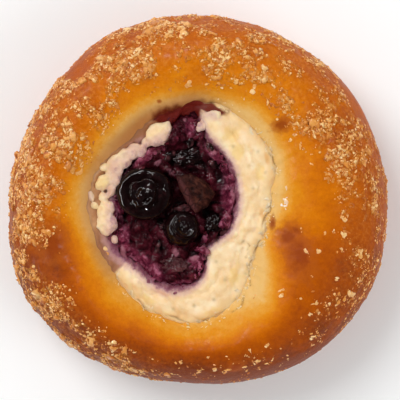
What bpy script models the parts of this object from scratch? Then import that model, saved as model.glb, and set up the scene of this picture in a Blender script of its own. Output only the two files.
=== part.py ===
"""Kolache: a round sweet-dough bun with a well of curd cheese and cooked berries, and butter
crumbs baked onto its crust. Metres, +Z up, with the origin under the middle of the bun.

The bun, the cheese and the compote are turned bodies with one centre line. The same plan is
then laid over all three: it moves the well off centre and gives the well, the filling and the
bun their uneven outlines, so that what nests before the plan still nests after it.
"""

import math
import random
from typing import NamedTuple

import bmesh
import bpy
from mathutils import Matrix, Vector, noise
from mathutils.bvhtree import BVHTree

MM = 0.001

# The turned bun
BUN_R = 50.0 * MM
WIDEST_Z = 14.0 * MM
CREST_R = 37.0 * MM
CREST_Z = 33.0 * MM
FOOT_R = 39.0 * MM
RISE_FULLNESS = 1.35
SIDE_FULLNESS = 2.1
FOOT_FULLNESS = 2.3
LEAN = 0.04
LEAN_DEG = 315.0

# The turned well, the cheese that lines it, and the compote in a dish in the cheese
WELL_R = 26.5 * MM
WELL_EDGE_Z = 26.4 * MM
WELL_FLOOR_R = 14.0 * MM
WELL_FLOOR_Z = 9.5 * MM
CHEESE_TOP_R = 22.8 * MM
CHEESE_TOP_Z = 27.2 * MM
DISH_R = 19.5 * MM
DISH_EDGE_Z = 24.6 * MM
DISH_FLOOR_R = 10.0 * MM
DISH_FLOOR_Z = 15.0 * MM
COMPOTE_TOP_R = 17.5 * MM
COMPOTE_TOP_Z = 25.2 * MM
GAP = 0.35 * MM

# Steps round the centre line and along each stretch of a profile
TURN_STEPS = 56
WELL_STEPS = 5
DISH_STEPS = 3
RISE_STEPS = 5
SIDE_STEPS = 9
FOOT_STEPS = 5
CHEESE_STEPS = (4, 3)
COMPOTE_RINGS = 5
MERGE = 0.00001
SLIVER = 0.00001

# Outlines in plan, in mm: the well and the compote as points round their middles, and the bun
# as waves on a circle, each with its number of waves, its height and the angle of a crest
WELL_MIDDLE = Vector((-3.6, -3.6))
WELL_EDGE = (
    (19.3, 1.5),
    (19.9, 9.5),
    (13.0, 19.6),
    (3.0, 25.2),
    (-8.6, 22.4),
    (-18.0, 15.4),
    (-26.2, 7.6),
    (-29.0, -1.5),
    (-26.0, -12.5),
    (-19.6, -23.0),
    (-10.8, -30.6),
    (0.0, -32.4),
    (9.8, -27.0),
    (14.4, -16.0),
    (17.8, -6.5),
)
COMPOTE_MIDDLE = Vector((-6.3, -2.4))
COMPOTE_EDGE = (
    (10.2, 1.0),
    (8.0, 9.8),
    (2.6, 16.6),
    (0.2, 21.0),
    (-5.6, 20.4),
    (-8.6, 15.4),
    (-15.0, 12.0),
    (-20.4, 4.8),
    (-21.8, -3.0),
    (-21.6, -12.4),
    (-15.6, -18.8),
    (-8.5, -24.2),
    (1.0, -21.4),
    (2.6, -13.2),
    (8.4, -7.4),
)
BUN_WAVES = ((1, 1.2, -88.0), (2, 0.6, 6.0), (3, 0.9, -30.0), (4, 0.6, 35.5))

# Relief: how high it stands and how far apart its swells, curds or mashed lumps lie
CRUST_SWELL = 0.5 * MM
CRUST_SPAN = 17.0 * MM
CURD_HEIGHT = 1.7 * MM
CURD_SPAN = 6.0 * MM
MASH_HEIGHT = 1.9 * MM
MASH_SPAN = 4.2 * MM
RELIEF_FADE = 1.4 * MM

# A berry's crown and dimple, as shares of its radius and of the crown ring's width, and how
# many wrinkles go to a radius
CROWN_RISE = 0.05
CROWN_WIDTH = 0.3
DIMPLE_DEPTH = 0.12
DIMPLE_WIDTH = 0.62
WRINKLES = 2.2

# Crumbs of butter, flour and sugar. They lie thickest on one side of the bun, on a band that
# is told by its elevation seen from a ring inside the dough.
CRUMBS = 142
CRUMB_R = (1.6 * MM, 0.8 * MM)
CRUMB_APART = 1.2
CRUMB_SUNK = 0.3
CRUMB_LENGTH = (0.85, 1.3)
CRUMB_WIDTH = (0.8, 1.05)
CRUMB_HEIGHT = 0.8
CRUMB_UNEVEN = (0.82, 1.15)
CRUMB_SEED = 7
CORE_R = 37.0 * MM
CORE_Z = 16.0 * MM
BAND_DEG = (6.0, 122.0)
BAND_THIN_DEG = 96.0
THICK_SIDE_DEG = 165.0
THIN_SHARE = 0.22
INNER_SHARE = 0.3


class Berry(NamedTuple):
    """One berry, in mm and degrees. Its crown is the ring round the end where the flower was."""

    middle: tuple
    radius: float
    stretch: float
    stretch_deg: float
    height: float
    crown_deg: float
    lean_deg: float
    lean_way_deg: float
    wrinkle: float
    rings: int
    finish: str


BERRIES = {
    "berry_large": Berry((-13.9, 1.2, 24.2), 7.0, 1.03, 0, 0.84, 44, 10, 150, 0.05, 13, "berry"),
    "berry_small": Berry((-4.4, -8.0, 24.4), 4.9, 1.0, 0, 0.88, 29, 8, 20, 0.05, 10, "berry"),
    "berry_dried": Berry((-0.2, 1.6, 26.0), 4.8, 1.05, 40, 0.5, 0, 15, 200, 0.2, 11, "dried"),
    "berry_split": Berry((3.9, -7.0, 24.8), 2.6, 1.1, 60, 0.8, 0, 0, 0, 0.16, 8, "berry"),
    "berry_upper": Berry((-1.6, 11.2, 24.6), 3.5, 1.4, 10, 0.75, 0, 0, 0, 0.22, 9, "berry"),
    "berry_lower": Berry((-5.4, -18.2, 24.6), 3.4, 1.35, 170, 0.7, 0, 0, 0, 0.18, 9, "berry"),
}

FINISHES = {
    # base colour and roughness
    "bun": ((0.60, 0.25, 0.05), 0.42),
    "cheese": ((0.92, 0.78, 0.50), 0.6),
    "compote": ((0.10, 0.015, 0.04), 0.3),
    "berry": ((0.02, 0.008, 0.012), 0.22),
    "dried": ((0.11, 0.035, 0.025), 0.6),
}


def clear_scene():
    for obj in list(bpy.data.objects):
        bpy.data.objects.remove(obj, do_unlink=True)


def new_collection(name):
    made = bpy.data.collections.new(name)
    bpy.context.scene.collection.children.link(made)
    return made


def finish_of(name):
    """The finish's Principled material, made once."""
    material = bpy.data.materials.get(name)
    if material is None:
        colour, roughness = FINISHES[name]
        material = bpy.data.materials.new(name)
        material.use_nodes = True
        shader = material.node_tree.nodes["Principled BSDF"]
        shader.inputs["Base Color"].default_value = (*colour, 1.0)
        shader.inputs["Roughness"].default_value = roughness
        shader.inputs["Metallic"].default_value = 0.0
    return material


def keep_in(obj, home):
    """Moves an object that an operator made into its own collection."""
    for owner in list(obj.users_collection):
        owner.objects.unlink(obj)
    home.objects.link(obj)


def hide_helper(obj):
    obj.hide_render = True
    obj.display_type = "WIRE"


def bake_modifiers(obj):
    """Replaces the object's mesh by what its modifiers make of it."""
    graph = bpy.context.evaluated_depsgraph_get()
    made = bpy.data.meshes.new_from_object(obj.evaluated_get(graph))
    old = obj.data
    obj.modifiers.clear()
    obj.data = made
    bpy.data.meshes.remove(old)
    made.name = obj.name


def make_triangles(mesh):
    """Splits the faces, which bending has left uneven, and welds points that all but touch."""
    shape = bmesh.new()
    shape.from_mesh(mesh)
    bmesh.ops.triangulate(shape, faces=shape.faces)
    bmesh.ops.remove_doubles(shape, verts=shape.verts, dist=SLIVER)
    shape.to_mesh(mesh)
    shape.free()


def step_between(value, low, high):
    """0 up to low, 1 from high on, and a smooth step between them."""
    t = min(1.0, max(0.0, (value - low) / (high - low)))
    return t * t * (3.0 - 2.0 * t)


def quarter(middle, half, start_deg, end_deg, steps, fullness=2.0):
    """Points (r, z) along part of a superellipse, both ends included."""
    points = []
    for i in range(steps + 1):
        angle = math.radians(start_deg + (end_deg - start_deg) * i / steps)
        c = math.cos(angle)
        s = math.sin(angle)
        r = middle[0] + half[0] * math.copysign(abs(c) ** (2.0 / fullness), c)
        z = middle[1] + half[1] * math.copysign(abs(s) ** (2.0 / fullness), s)
        points.append((r, z))
    return points


def bowl_line(floor_r, floor_z, edge_r, edge_z, steps):
    """A flat floor and a rounded wall that is upright at the edge, from the centre line out."""
    half = (edge_r - floor_r, edge_z - floor_z)
    return [(0.0, floor_z)] + quarter((floor_r, edge_z), half, -90, 0, steps)


def well_line():
    return bowl_line(WELL_FLOOR_R, WELL_FLOOR_Z, WELL_R, WELL_EDGE_Z, WELL_STEPS)


def dish_line():
    return bowl_line(DISH_FLOOR_R, DISH_FLOOR_Z, DISH_R, DISH_EDGE_Z, DISH_STEPS)


def bun_profile():
    """The well, the slope up to the crest, the full side and the flat foot."""
    rise_half = (CREST_R - WELL_R, CREST_Z - WELL_EDGE_Z)
    rise = quarter((CREST_R, WELL_EDGE_Z), rise_half, 180, 90, RISE_STEPS, RISE_FULLNESS)
    side_half = (BUN_R - CREST_R, CREST_Z - WIDEST_Z)
    side = quarter((CREST_R, WIDEST_Z), side_half, 90, 0, SIDE_STEPS, SIDE_FULLNESS)
    foot_half = (BUN_R - FOOT_R, WIDEST_Z)
    foot = quarter((FOOT_R, WIDEST_Z), foot_half, 0, -90, FOOT_STEPS, FOOT_FULLNESS)
    return well_line() + rise[1:] + side[1:] + foot[1:] + [(0.0, 0.0)]


def cheese_profile():
    """The dish, the swollen ring round it, and the well's line back to the centre."""
    inner_half = (CHEESE_TOP_R - DISH_R, CHEESE_TOP_Z - DISH_EDGE_Z)
    inner = quarter((CHEESE_TOP_R, DISH_EDGE_Z), inner_half, 180, 90, CHEESE_STEPS[0])
    outer_half = (WELL_R - CHEESE_TOP_R, CHEESE_TOP_Z - WELL_EDGE_Z)
    outer = quarter((CHEESE_TOP_R, WELL_EDGE_Z), outer_half, 90, 0, CHEESE_STEPS[1])
    return dish_line() + inner[1:] + outer[1:] + well_line()[-2::-1]


def compote_profile():
    """The mashed top with its rounded edge, and the dish's line back to the centre."""
    top = [(COMPOTE_TOP_R * i / COMPOTE_RINGS, COMPOTE_TOP_Z) for i in range(COMPOTE_RINGS + 1)]
    return top + dish_line()[::-1]


def turned(name, profile, home):
    """A closed body turned from a half profile that starts and ends on the centre line."""
    mesh = bpy.data.meshes.new(name)
    edges = [(i, i + 1) for i in range(len(profile) - 1)]
    mesh.from_pydata([(r, 0.0, z) for r, z in profile], edges, [])
    mesh.materials.append(finish_of(name))
    obj = bpy.data.objects.new(name, mesh)
    home.objects.link(obj)
    screw = obj.modifiers.new("turn", "SCREW")
    screw.axis = "Z"
    screw.steps = TURN_STEPS
    screw.render_steps = TURN_STEPS
    screw.use_merge_vertices = True
    screw.merge_threshold = MERGE
    bake_modifiers(obj)
    return obj


def edge_reach(angle, middle, edge):
    """How far the closed edge lies from its middle this way, smooth between the edge's points."""
    spokes = [Vector(point) - middle for point in edge]
    polar = sorted((math.atan2(spoke.y, spoke.x), spoke.length) for spoke in spokes)
    count = len(polar)
    after = next((i for i, (there, _) in enumerate(polar) if there > angle), count)
    near = []
    for k in range(after - 2, after + 2):
        there, reach = polar[k % count]
        near.append((there + 2.0 * math.pi * (k // count), reach))
    (a0, r0), (a1, r1), (a2, r2), (a3, r3) = near
    t = (angle - a1) / (a2 - a1)
    slope_1 = (r2 - r0) / (a2 - a0) * (a2 - a1)
    slope_2 = (r3 - r1) / (a3 - a1) * (a2 - a1)
    ease = t * t * (3.0 - 2.0 * t)
    return (
        r1 * (1.0 - ease)
        + r2 * ease
        + slope_1 * t * (1.0 - t) ** 2
        - slope_2 * t * t * (1.0 - t)
    )


def bun_reach(angle):
    """How far the bun's widest edge lies from the origin this way, in mm."""
    waves = sum(high * math.cos(n * (angle - math.radians(crest))) for n, high, crest in BUN_WAVES)
    return BUN_R / MM + waves


def plan_place(r, angle, on_foot):
    """Where a turned point lies in plan. The foot keeps only the bun's outline."""
    way = Vector((math.cos(angle), math.sin(angle)))
    rim = way * bun_reach(angle) * MM
    if on_foot:
        return rim * (r / BUN_R)
    dish = (COMPOTE_MIDDLE + way * edge_reach(angle, COMPOTE_MIDDLE, COMPOTE_EDGE)) * MM
    well = (WELL_MIDDLE + way * edge_reach(angle, WELL_MIDDLE, WELL_EDGE)) * MM
    if r <= DISH_R:
        return (COMPOTE_MIDDLE * MM).lerp(dish, r / DISH_R)
    if r <= WELL_R:
        return dish.lerp(well, (r - DISH_R) / (WELL_R - DISH_R))
    return well.lerp(rim, (r - WELL_R) / (BUN_R - WELL_R))


def lean(point):
    """The height share that the bun's slight lean leaves here. The underside stays flat."""
    way = math.radians(LEAN_DEG)
    return 1.0 - LEAN * (point.x * math.cos(way) + point.y * math.sin(way)) / BUN_R


def lay_plan(obj):
    for vertex in obj.data.vertices:
        x, y, z = vertex.co
        r = math.hypot(x, y)
        on_foot = z < WIDEST_Z and (r > WELL_R + MERGE or z < WELL_FLOOR_Z / 2)
        place = plan_place(r, math.atan2(y, x), on_foot)
        vertex.co = (place.x, place.y, z * lean(place))
    obj.data.update()


def on_line(vertex, line):
    """Whether a turned body's vertex lies on this line of its profile."""
    r = math.hypot(vertex.co.x, vertex.co.y)
    return any(math.hypot(r - line_r, vertex.co.z - z) < MERGE for line_r, z in line)


def lay_in(obj, line):
    """Lays the plan over a body, then draws it back by the gap where it lies on this line."""
    lying = [vertex.index for vertex in obj.data.vertices if on_line(vertex, line)]
    lay_plan(obj)
    shifts = [(index, obj.data.vertices[index].normal * GAP) for index in lying]
    for index, shift in shifts:
        obj.data.vertices[index].co -= shift
    make_triangles(obj.data)


def swell_crust(obj):
    """Slow swells over the crust, which fade out at the well and at the underside."""
    shifts = []
    for vertex in obj.data.vertices:
        r = math.hypot(vertex.co.x, vertex.co.y)
        share = step_between(r, WELL_R, CREST_R) * step_between(vertex.co.z, 2 * MM, 10 * MM)
        swell = noise.noise(vertex.co / CRUST_SPAN) * CRUST_SWELL
        shifts.append(vertex.normal * (swell * share))
    for vertex, shift in zip(obj.data.vertices, shifts):
        vertex.co += shift
    obj.data.update()


def lump_height(point, span):
    """1 at the middle of each soft lump, and 0 in the creases between lumps."""
    nearest = noise.voronoi(point / span)[0][0]
    return max(0.0, 1.0 - 1.6 * nearest * nearest)


def lump_top(obj, line, inner_r, outer_r, height, span):
    """Raises lumps on a turned body's top between two radii, off the line that it lies on."""
    for vertex in obj.data.vertices:
        r = math.hypot(vertex.co.x, vertex.co.y)
        if on_line(vertex, line) or not inner_r <= r <= outer_r:
            continue
        share = step_between(outer_r - r, 0.0, RELIEF_FADE)
        if inner_r > 0.0:
            share *= step_between(r - inner_r, 0.0, RELIEF_FADE)
        vertex.co.z += (lump_height(vertex.co, span) - 0.5) * height * share
    obj.data.update()


def make_bun(home):
    obj = turned("bun", bun_profile(), home)
    swell_crust(obj)
    lay_plan(obj)
    make_triangles(obj.data)
    return obj


def make_cheese(home):
    obj = turned("cheese", cheese_profile(), home)
    lump_top(obj, well_line() + dish_line(), DISH_R, WELL_R, CURD_HEIGHT, CURD_SPAN)
    lay_in(obj, well_line())
    return obj


def make_compote(home):
    obj = turned("compote", compote_profile(), home)
    lump_top(obj, dish_line(), 0.0, DISH_R, MASH_HEIGHT, MASH_SPAN)
    lay_in(obj, dish_line())
    return obj


def berry_reach(way, berry):
    """How far a berry of radius 1 reaches this way, with its crown, dimple and wrinkles."""
    reach = 1.0 + berry.wrinkle * noise.noise(way * WRINKLES + Vector(berry.middle))
    if berry.crown_deg:
        rings_out = math.acos(max(-1.0, min(1.0, way.z))) / math.radians(berry.crown_deg)
        reach += CROWN_RISE * math.exp(-(((rings_out - 1.0) / CROWN_WIDTH) ** 2))
        reach -= DIMPLE_DEPTH * math.exp(-((rings_out / DIMPLE_WIDTH) ** 2))
    return reach


def along(way_deg, matrix):
    """The matrix with this direction in plan in the place of its X axis."""
    there = Matrix.Rotation(math.radians(way_deg), 3, "Z")
    return there @ matrix @ there.transposed()


def make_berry(name, berry, home, gap=0.0):
    """A berry as a closed body, or with a gap the larger body of the socket that it lies in."""
    segments = berry.rings + 4
    bpy.ops.mesh.primitive_uv_sphere_add(segments=segments, ring_count=berry.rings, radius=1.0)
    obj = bpy.context.object
    obj.name = name
    keep_in(obj, home)
    crown = along(berry.lean_way_deg, Matrix.Rotation(math.radians(berry.lean_deg), 3, "Y"))
    flat = Matrix.Diagonal((berry.stretch, 1.0 / berry.stretch, berry.height))
    shape = along(berry.stretch_deg, flat) @ crown
    for vertex in obj.data.vertices:
        way = vertex.co.normalized()
        spot = shape @ way * (berry_reach(way, berry) * berry.radius * MM)
        vertex.co = spot + spot.normalized() * gap
    make_triangles(obj.data)
    obj.location = Vector(berry.middle) * MM
    obj.data.materials.append(finish_of(berry.finish))
    obj.data.shade_smooth()
    return obj


def boolean(obj, operation, others):
    """Cuts a collection's objects from this one or joins them to it."""
    bpy.context.view_layer.update()
    modifier = obj.modifiers.new(operation.lower(), "BOOLEAN")
    modifier.operation = operation
    modifier.operand_type = "COLLECTION"
    modifier.collection = others
    modifier.solver = "EXACT"
    bake_modifiers(obj)
    make_triangles(obj.data)


def crumb_share(angle, rise_deg):
    """Share of the full cover of crumbs here, seen from the core at this angle and elevation."""
    toward = math.cos(angle - math.radians(THICK_SIDE_DEG))
    around = THIN_SHARE + (1.0 - THIN_SHARE) * step_between(toward, -0.75, 0.55)
    inward = step_between(rise_deg, BAND_THIN_DEG, BAND_DEG[1])
    return around * (1.0 - (1.0 - INNER_SHARE) * inward)


def crumb_places(bun):
    """(point, normal, radius) of each crumb on the crust, largest first and none too close."""
    shape = bmesh.new()
    shape.from_mesh(bun.data)
    crust = BVHTree.FromBMesh(shape)
    shape.free()
    draw = random.Random(CRUMB_SEED)
    taken = []
    while len(taken) < CRUMBS:
        radius = CRUMB_R[0] + (CRUMB_R[1] - CRUMB_R[0]) * math.sqrt(len(taken) / CRUMBS)
        angle = draw.uniform(-math.pi, math.pi)
        rise_deg = draw.uniform(*BAND_DEG)
        if draw.random() > crumb_share(angle, rise_deg):
            continue
        out = Vector((math.cos(angle), math.sin(angle), 0.0))
        rise = math.radians(rise_deg)
        core = out * CORE_R + Vector((0.0, 0.0, CORE_Z))
        way = out * math.cos(rise) + Vector((0.0, 0.0, math.sin(rise)))
        point, normal, _, _ = crust.ray_cast(core, way)
        apart = [(point - other).length - CRUMB_APART * (radius + size) for other, _, size in taken]
        if min(apart, default=1.0) > 0.0:
            taken.append((point, normal, radius))
    return taken


def make_crumbs(bun, home):
    """A small uneven lump for each crumb, sunk a little into the crust."""
    draw = random.Random(CRUMB_SEED + 1)
    for point, normal, radius in crumb_places(bun):
        bpy.ops.mesh.primitive_ico_sphere_add(subdivisions=1, radius=radius)
        crumb = bpy.context.object
        crumb.name = "crumb"
        keep_in(crumb, home)
        hide_helper(crumb)
        sizes = (draw.uniform(*CRUMB_LENGTH), draw.uniform(*CRUMB_WIDTH), CRUMB_HEIGHT)
        turn = Matrix.Rotation(draw.uniform(0.0, 2.0 * math.pi), 3, "Z")
        upright = normal.to_track_quat("Z", "Y").to_matrix() @ turn @ Matrix.Diagonal(sizes)
        for vertex in crumb.data.vertices:
            vertex.co = upright @ (vertex.co * draw.uniform(*CRUMB_UNEVEN))
        crumb.location = point - normal * (radius * CRUMB_SUNK)


def make_kolache():
    clear_scene()
    food = new_collection("kolache")
    sockets = new_collection("sockets")
    crumbs = new_collection("crumbs")
    bun = make_bun(food)
    cheese = make_cheese(food)
    compote = make_compote(food)
    for name, berry in BERRIES.items():
        make_berry(name, berry, food)
        hide_helper(make_berry(f"{name}_socket", berry, sockets, GAP))
    boolean(cheese, "DIFFERENCE", sockets)
    boolean(compote, "DIFFERENCE", sockets)
    make_crumbs(bun, crumbs)
    boolean(bun, "UNION", crumbs)
    for crumb in list(crumbs.objects):
        bpy.data.objects.remove(crumb, do_unlink=True)
    bpy.data.collections.remove(crumbs)
    for obj in (bun, cheese, compote):
        obj.data.shade_smooth()


make_kolache()
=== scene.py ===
import math
import random
from collections import namedtuple

import bmesh
import bpy
from mathutils import Matrix, Vector, noise
from mathutils.bvhtree import BVHTree


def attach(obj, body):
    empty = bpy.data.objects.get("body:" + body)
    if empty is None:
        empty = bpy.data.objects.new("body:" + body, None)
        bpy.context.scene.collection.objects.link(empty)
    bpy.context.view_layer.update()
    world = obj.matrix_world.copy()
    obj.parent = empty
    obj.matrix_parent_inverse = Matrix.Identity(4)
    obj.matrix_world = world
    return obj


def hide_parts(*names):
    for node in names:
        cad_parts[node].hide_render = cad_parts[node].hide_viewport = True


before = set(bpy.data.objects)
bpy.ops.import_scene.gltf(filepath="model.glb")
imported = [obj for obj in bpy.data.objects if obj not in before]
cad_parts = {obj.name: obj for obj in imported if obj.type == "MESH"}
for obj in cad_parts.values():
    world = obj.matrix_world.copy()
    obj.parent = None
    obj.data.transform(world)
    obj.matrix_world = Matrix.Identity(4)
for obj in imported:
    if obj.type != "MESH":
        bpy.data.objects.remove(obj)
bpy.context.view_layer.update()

# A kolache as it comes from the oven: the bun with its glazed crust and butter crumbs, the curd
# cheese in its well and the cooked berries in the cheese. Lengths are in mm until a mesh is made.
MM = 0.001

# The turned bun, its well, the cheese and the compote, with the solids' sizes
BUN_R = 50.0
WIDEST_Z = 14.0
CREST_R = 37.0
CREST_Z = 33.0
FOOT_R = 39.0
RISE_FULLNESS = 1.35
SIDE_FULLNESS = 2.1
FOOT_FULLNESS = 2.3
LEAN = 0.04
LEAN_DEG = 315.0
WELL_R = 26.5
WELL_EDGE_Z = 26.4
WELL_FLOOR_R = 14.0
WELL_FLOOR_Z = 9.5
CHEESE_TOP_R = 22.8
CHEESE_TOP_Z = 27.2
DISH_R = 19.5
DISH_EDGE_Z = 24.6
DISH_FLOOR_R = 10.0
DISH_FLOOR_Z = 15.0
COMPOTE_TOP_R = 17.5
COMPOTE_TOP_Z = 25.2

# Outlines in plan, with the solids' points
WELL_MIDDLE = Vector((-3.6, -3.6))
WELL_EDGE = (
    (19.3, 1.5),
    (19.9, 9.5),
    (13.0, 19.6),
    (3.0, 25.2),
    (-8.6, 22.4),
    (-18.0, 15.4),
    (-26.2, 7.6),
    (-29.0, -1.5),
    (-26.0, -12.5),
    (-19.6, -23.0),
    (-10.8, -30.6),
    (0.0, -32.4),
    (9.8, -27.0),
    (14.4, -16.0),
    (17.8, -6.5),
)
COMPOTE_MIDDLE = Vector((-6.3, -2.4))
COMPOTE_EDGE = (
    (10.2, 1.0),
    (8.0, 9.8),
    (2.6, 16.6),
    (0.2, 21.0),
    (-5.6, 20.4),
    (-8.6, 15.4),
    (-15.0, 12.0),
    (-20.4, 4.8),
    (-21.8, -3.0),
    (-21.6, -12.4),
    (-15.6, -18.8),
    (-8.5, -24.2),
    (1.0, -21.4),
    (2.6, -13.2),
    (8.4, -7.4),
)
BUN_WAVES = ((1, 1.2, -88.0), (2, 0.6, 6.0), (3, 0.9, -30.0), (4, 0.6, 35.5))

# The solids' relief: the height and the span of swells, curds and mashed lumps
CRUST_SWELL = 0.5
CRUST_SPAN = 17.0
CURD_HEIGHT = 1.7
CURD_SPAN = 6.0
MASH_HEIGHT = 1.9
MASH_SPAN = 4.2
RELIEF_FADE = 1.4

# How finely the surfaces are made: columns round the centre line, mm between the rows, and the
# points on a round stretch before its rows are spaced out
CRUST_COLUMNS = 480
CHEESE_COLUMNS = 560
COMPOTE_COLUMNS = 420
FLAT_APART = 2.0
BASE_APART = 2.4
WELL_APART = 1.5
RISE_APART = 0.32
SIDE_APART = 0.45
FOOT_APART = 0.7
DISH_APART = 1.2
RING_APART = 0.2
MASH_APART = 0.26
BOWL_STEPS = 60
RING_STEPS = 80
RISE_STEPS = 200
SIDE_STEPS = 300

# The top of the bun lies above the first height, the well's edge lies within this reach of the
# middle, the dough's wall is covered below the next height, and nothing is as high as the last
TOP_Z = 20.0
WELL_REACH = 36.0
COVERED_Z = 24.0
ABOVE_ALL = 60.0

# One seed for the vectors of noise, which follow the clock without it, and one for each piece
# that is strewn at random
NOISE_SEED = 2
SEEDS = {
    "crumb_clumps": 7,
    "crumb_grains": 8,
    "crumb_flecks": 9,
    "crumb_strays": 21,
    "glaze_drops": 22,
    "cheese_curds": 17,
    "cheese_crumbs": 41,
    "mash_pulp": 31,
    "mash_smears": 37,
}

# The bake, told every 30 degrees from +X: where the pale dough ends and where it has turned
# golden, as shares of the way out to the rim, and the bake there and at the rim
PALE_ENDS = (0.42, 0.48, 0.53, 0.53, 0.54, 0.55, 0.60, 0.55, 0.57, 0.62, 0.57, 0.37)
GOLD_FROM = (0.49, 0.55, 0.60, 0.59, 0.61, 0.63, 0.68, 0.62, 0.69, 0.74, 0.68, 0.43)
PALE_BAKE = 0.12
GOLD_BAKE = 0.38
RIM_BAKE = 0.88
FOOT_PALER = 0.16

# How much browner or paler than elsewhere the crust is painted, every 30 degrees: partly real
# browning, and partly painted shade on the lower side, away from the key light
BROWNED_AND_SHADED = (-0.03, -0.08, -0.1, -0.08, -0.04, 0.0, 0.04, 0.14, 0.17, 0.22, 0.16, 0.08)

# How strongly the inner wall is painted darker, every 30 degrees, and over how many mm: partly
# damp dough, and partly painted shade where the wall faces away from the key light
DAMP_AND_SHADE = (0.0, 0.0, 0.15, 0.6, 0.9, 0.5, 0.05, 0.45, 0.15, 0.0, 0.0, 0.0)
DAMP_AND_SHADE_WIDTH = 7.0

# How far the cheese has slumped over the compote's edge, every 30 degrees
CHEESE_OVER = (0.5, 0.6, 1.2, 0.2, 0.0, 0.0, 0.0, 0.0, 0.9, 1.3, 1.2, 0.4)

# The crumbs, told every 30 degrees: how thickly they lie, and the shares of the way out
# between which they lie. This many mm below the widest line count as one more share.
CRUMB_COVER = (0.62, 0.8, 0.85, 0.8, 0.9, 1.0, 1.0, 0.85, 0.7, 0.24, 0.14, 0.42)
CRUMB_FROM = (0.70, 0.62, 0.60, 0.62, 0.63, 0.61, 0.68, 0.78, 0.84, 0.86, 0.80, 0.76)
CRUMB_TO = (1.02, 0.96, 0.94, 0.97, 1.0, 1.08, 1.08, 1.16, 1.08, 0.92, 0.98, 1.06)
BELOW_WIDEST = 30.0

# Places on the crust: middle, half length, half width, the way its length runs, and for a dent
# its depth
SMOOTH_DENTS = (
    ((-31.5, 34.0), 3.6, 2.6, 40.0, 0.7),
    ((-40.0, -17.0), 7.0, 2.4, -38.0, 0.8),
    ((42.5, 24.5), 9.0, 2.2, -58.0, 0.0),
)
SCORCHES = (
    ((21.8, 19.2), 3.0, 2.2, 20.0),
    ((26.4, -15.0), 7.4, 4.2, 105.0),
    ((23.4, -9.6), 4.0, 3.0, 60.0),
    ((19.4, -6.4), 2.0, 0.9, 80.0),
    ((25.6, -8.4), 2.6, 1.4, 150.0),
    ((-10.2, 25.4), 0.7, 0.5, 0.0),
    ((9.8, -44.0), 2.6, 1.4, 20.0),
    ((-38.0, -12.0), 6.0, 4.4, 80.0),
)
TANNED = (
    ((-37.6, -12.0), 7.0, 5.0, 80.0),
    ((-27.0, 24.0), 4.4, 2.6, 130.0),
    ((25.0, -12.0), 7.0, 4.0, 110.0),
    ((34.0, 18.0), 8.0, 5.0, 130.0),
)

# The juice stain at the top of the well, as points in plan, its half width, how much wider it is
# on the crust, and the line in plan that it stays above
STAIN = ((-11.0, 20.9), (-7.6, 22.2), (-4.2, 22.9), (0.2, 24.3), (3.0, 24.2), (6.0, 23.3), (8.0, 22.8))
STAIN_WIDTH = 1.25
STAIN_ON_CRUST = 1.4
STAIN_FROM_Y = 15.0

# Cracks where the cheese has come away from the dough, as points in plan
CRACKS = (
    ((15.9, 15.0), (19.1, 11.4), (20.4, 8.6), (20.9, 5.7)),
    ((19.3, 1.6), (18.9, -2.1), (17.1, -5.8), (16.6, -9.0), (15.4, -11.9), (13.0, -18.4), (13.6, -22.9)),
    ((-16.0, -26.6), (-13.6, -28.9), (-10.7, -30.2), (-6.6, -31.1), (-3.3, -32.3), (2.8, -31.9)),
    ((11.0, -9.4), (13.4, -12.2), (12.4, -15.6)),
    ((8.6, -29.6), (11.2, -28.4), (12.0, -25.2)),
)
CRACK_WIDTH = 0.2
CRACK_DEPTH = 0.28


# Finishes


class Amount:
    """A shader socket in a sum. Numbers and other sockets join it through Math nodes."""

    def __init__(self, sheet, socket):
        self.sheet = sheet
        self.socket = socket

    def __add__(self, other):
        return self.sheet.worked("ADD", self, other)

    def __radd__(self, other):
        return self.sheet.worked("ADD", other, self)

    def __sub__(self, other):
        return self.sheet.worked("SUBTRACT", self, other)

    def __rsub__(self, other):
        return self.sheet.worked("SUBTRACT", other, self)

    def __mul__(self, other):
        return self.sheet.worked("MULTIPLY", self, other)

    def __rmul__(self, other):
        return self.sheet.worked("MULTIPLY", other, self)


class Sheet:
    """The nodes of a material or of the room, as sums can be written on it."""

    def __init__(self, tree):
        self.tree = tree

    def join(self, socket, value):
        if isinstance(value, Amount):
            self.tree.links.new(value.socket, socket)
        else:
            socket.default_value = value

    def node(self, kind, settings=None, sockets=None, output=0):
        """Adds a node of this kind: its settings first, then its sockets' values or links."""
        made = self.tree.nodes.new(kind)
        for name, value in (settings or {}).items():
            if name == "stops":
                self.set_stops(made.color_ramp.elements, value)
            else:
                setattr(made, name, value)
        for name, value in (sockets or {}).items():
            self.join(made.inputs[name], value)
        return Amount(self, made.outputs[output])

    def set_stops(self, elements, stops):
        """A new ramp has two stops already, and the others are added to it."""
        for i, (place, colour) in enumerate(stops):
            stop = elements[i] if i < 2 else elements.new(place)
            stop.position = place
            stop.color = colour

    def worked(self, operation, first, second):
        return self.node("ShaderNodeMath", {"operation": operation}, {0: first, 1: second})


def paint(red, green, blue):
    """A colour named by its screen values from 0 to 255, as the shader takes it."""
    shares = [value / 255.0 for value in (red, green, blue)]
    light = [s / 12.92 if s <= 0.04045 else ((s + 0.055) / 1.055) ** 2.4 for s in shares]
    return (*light, 1.0)


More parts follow.
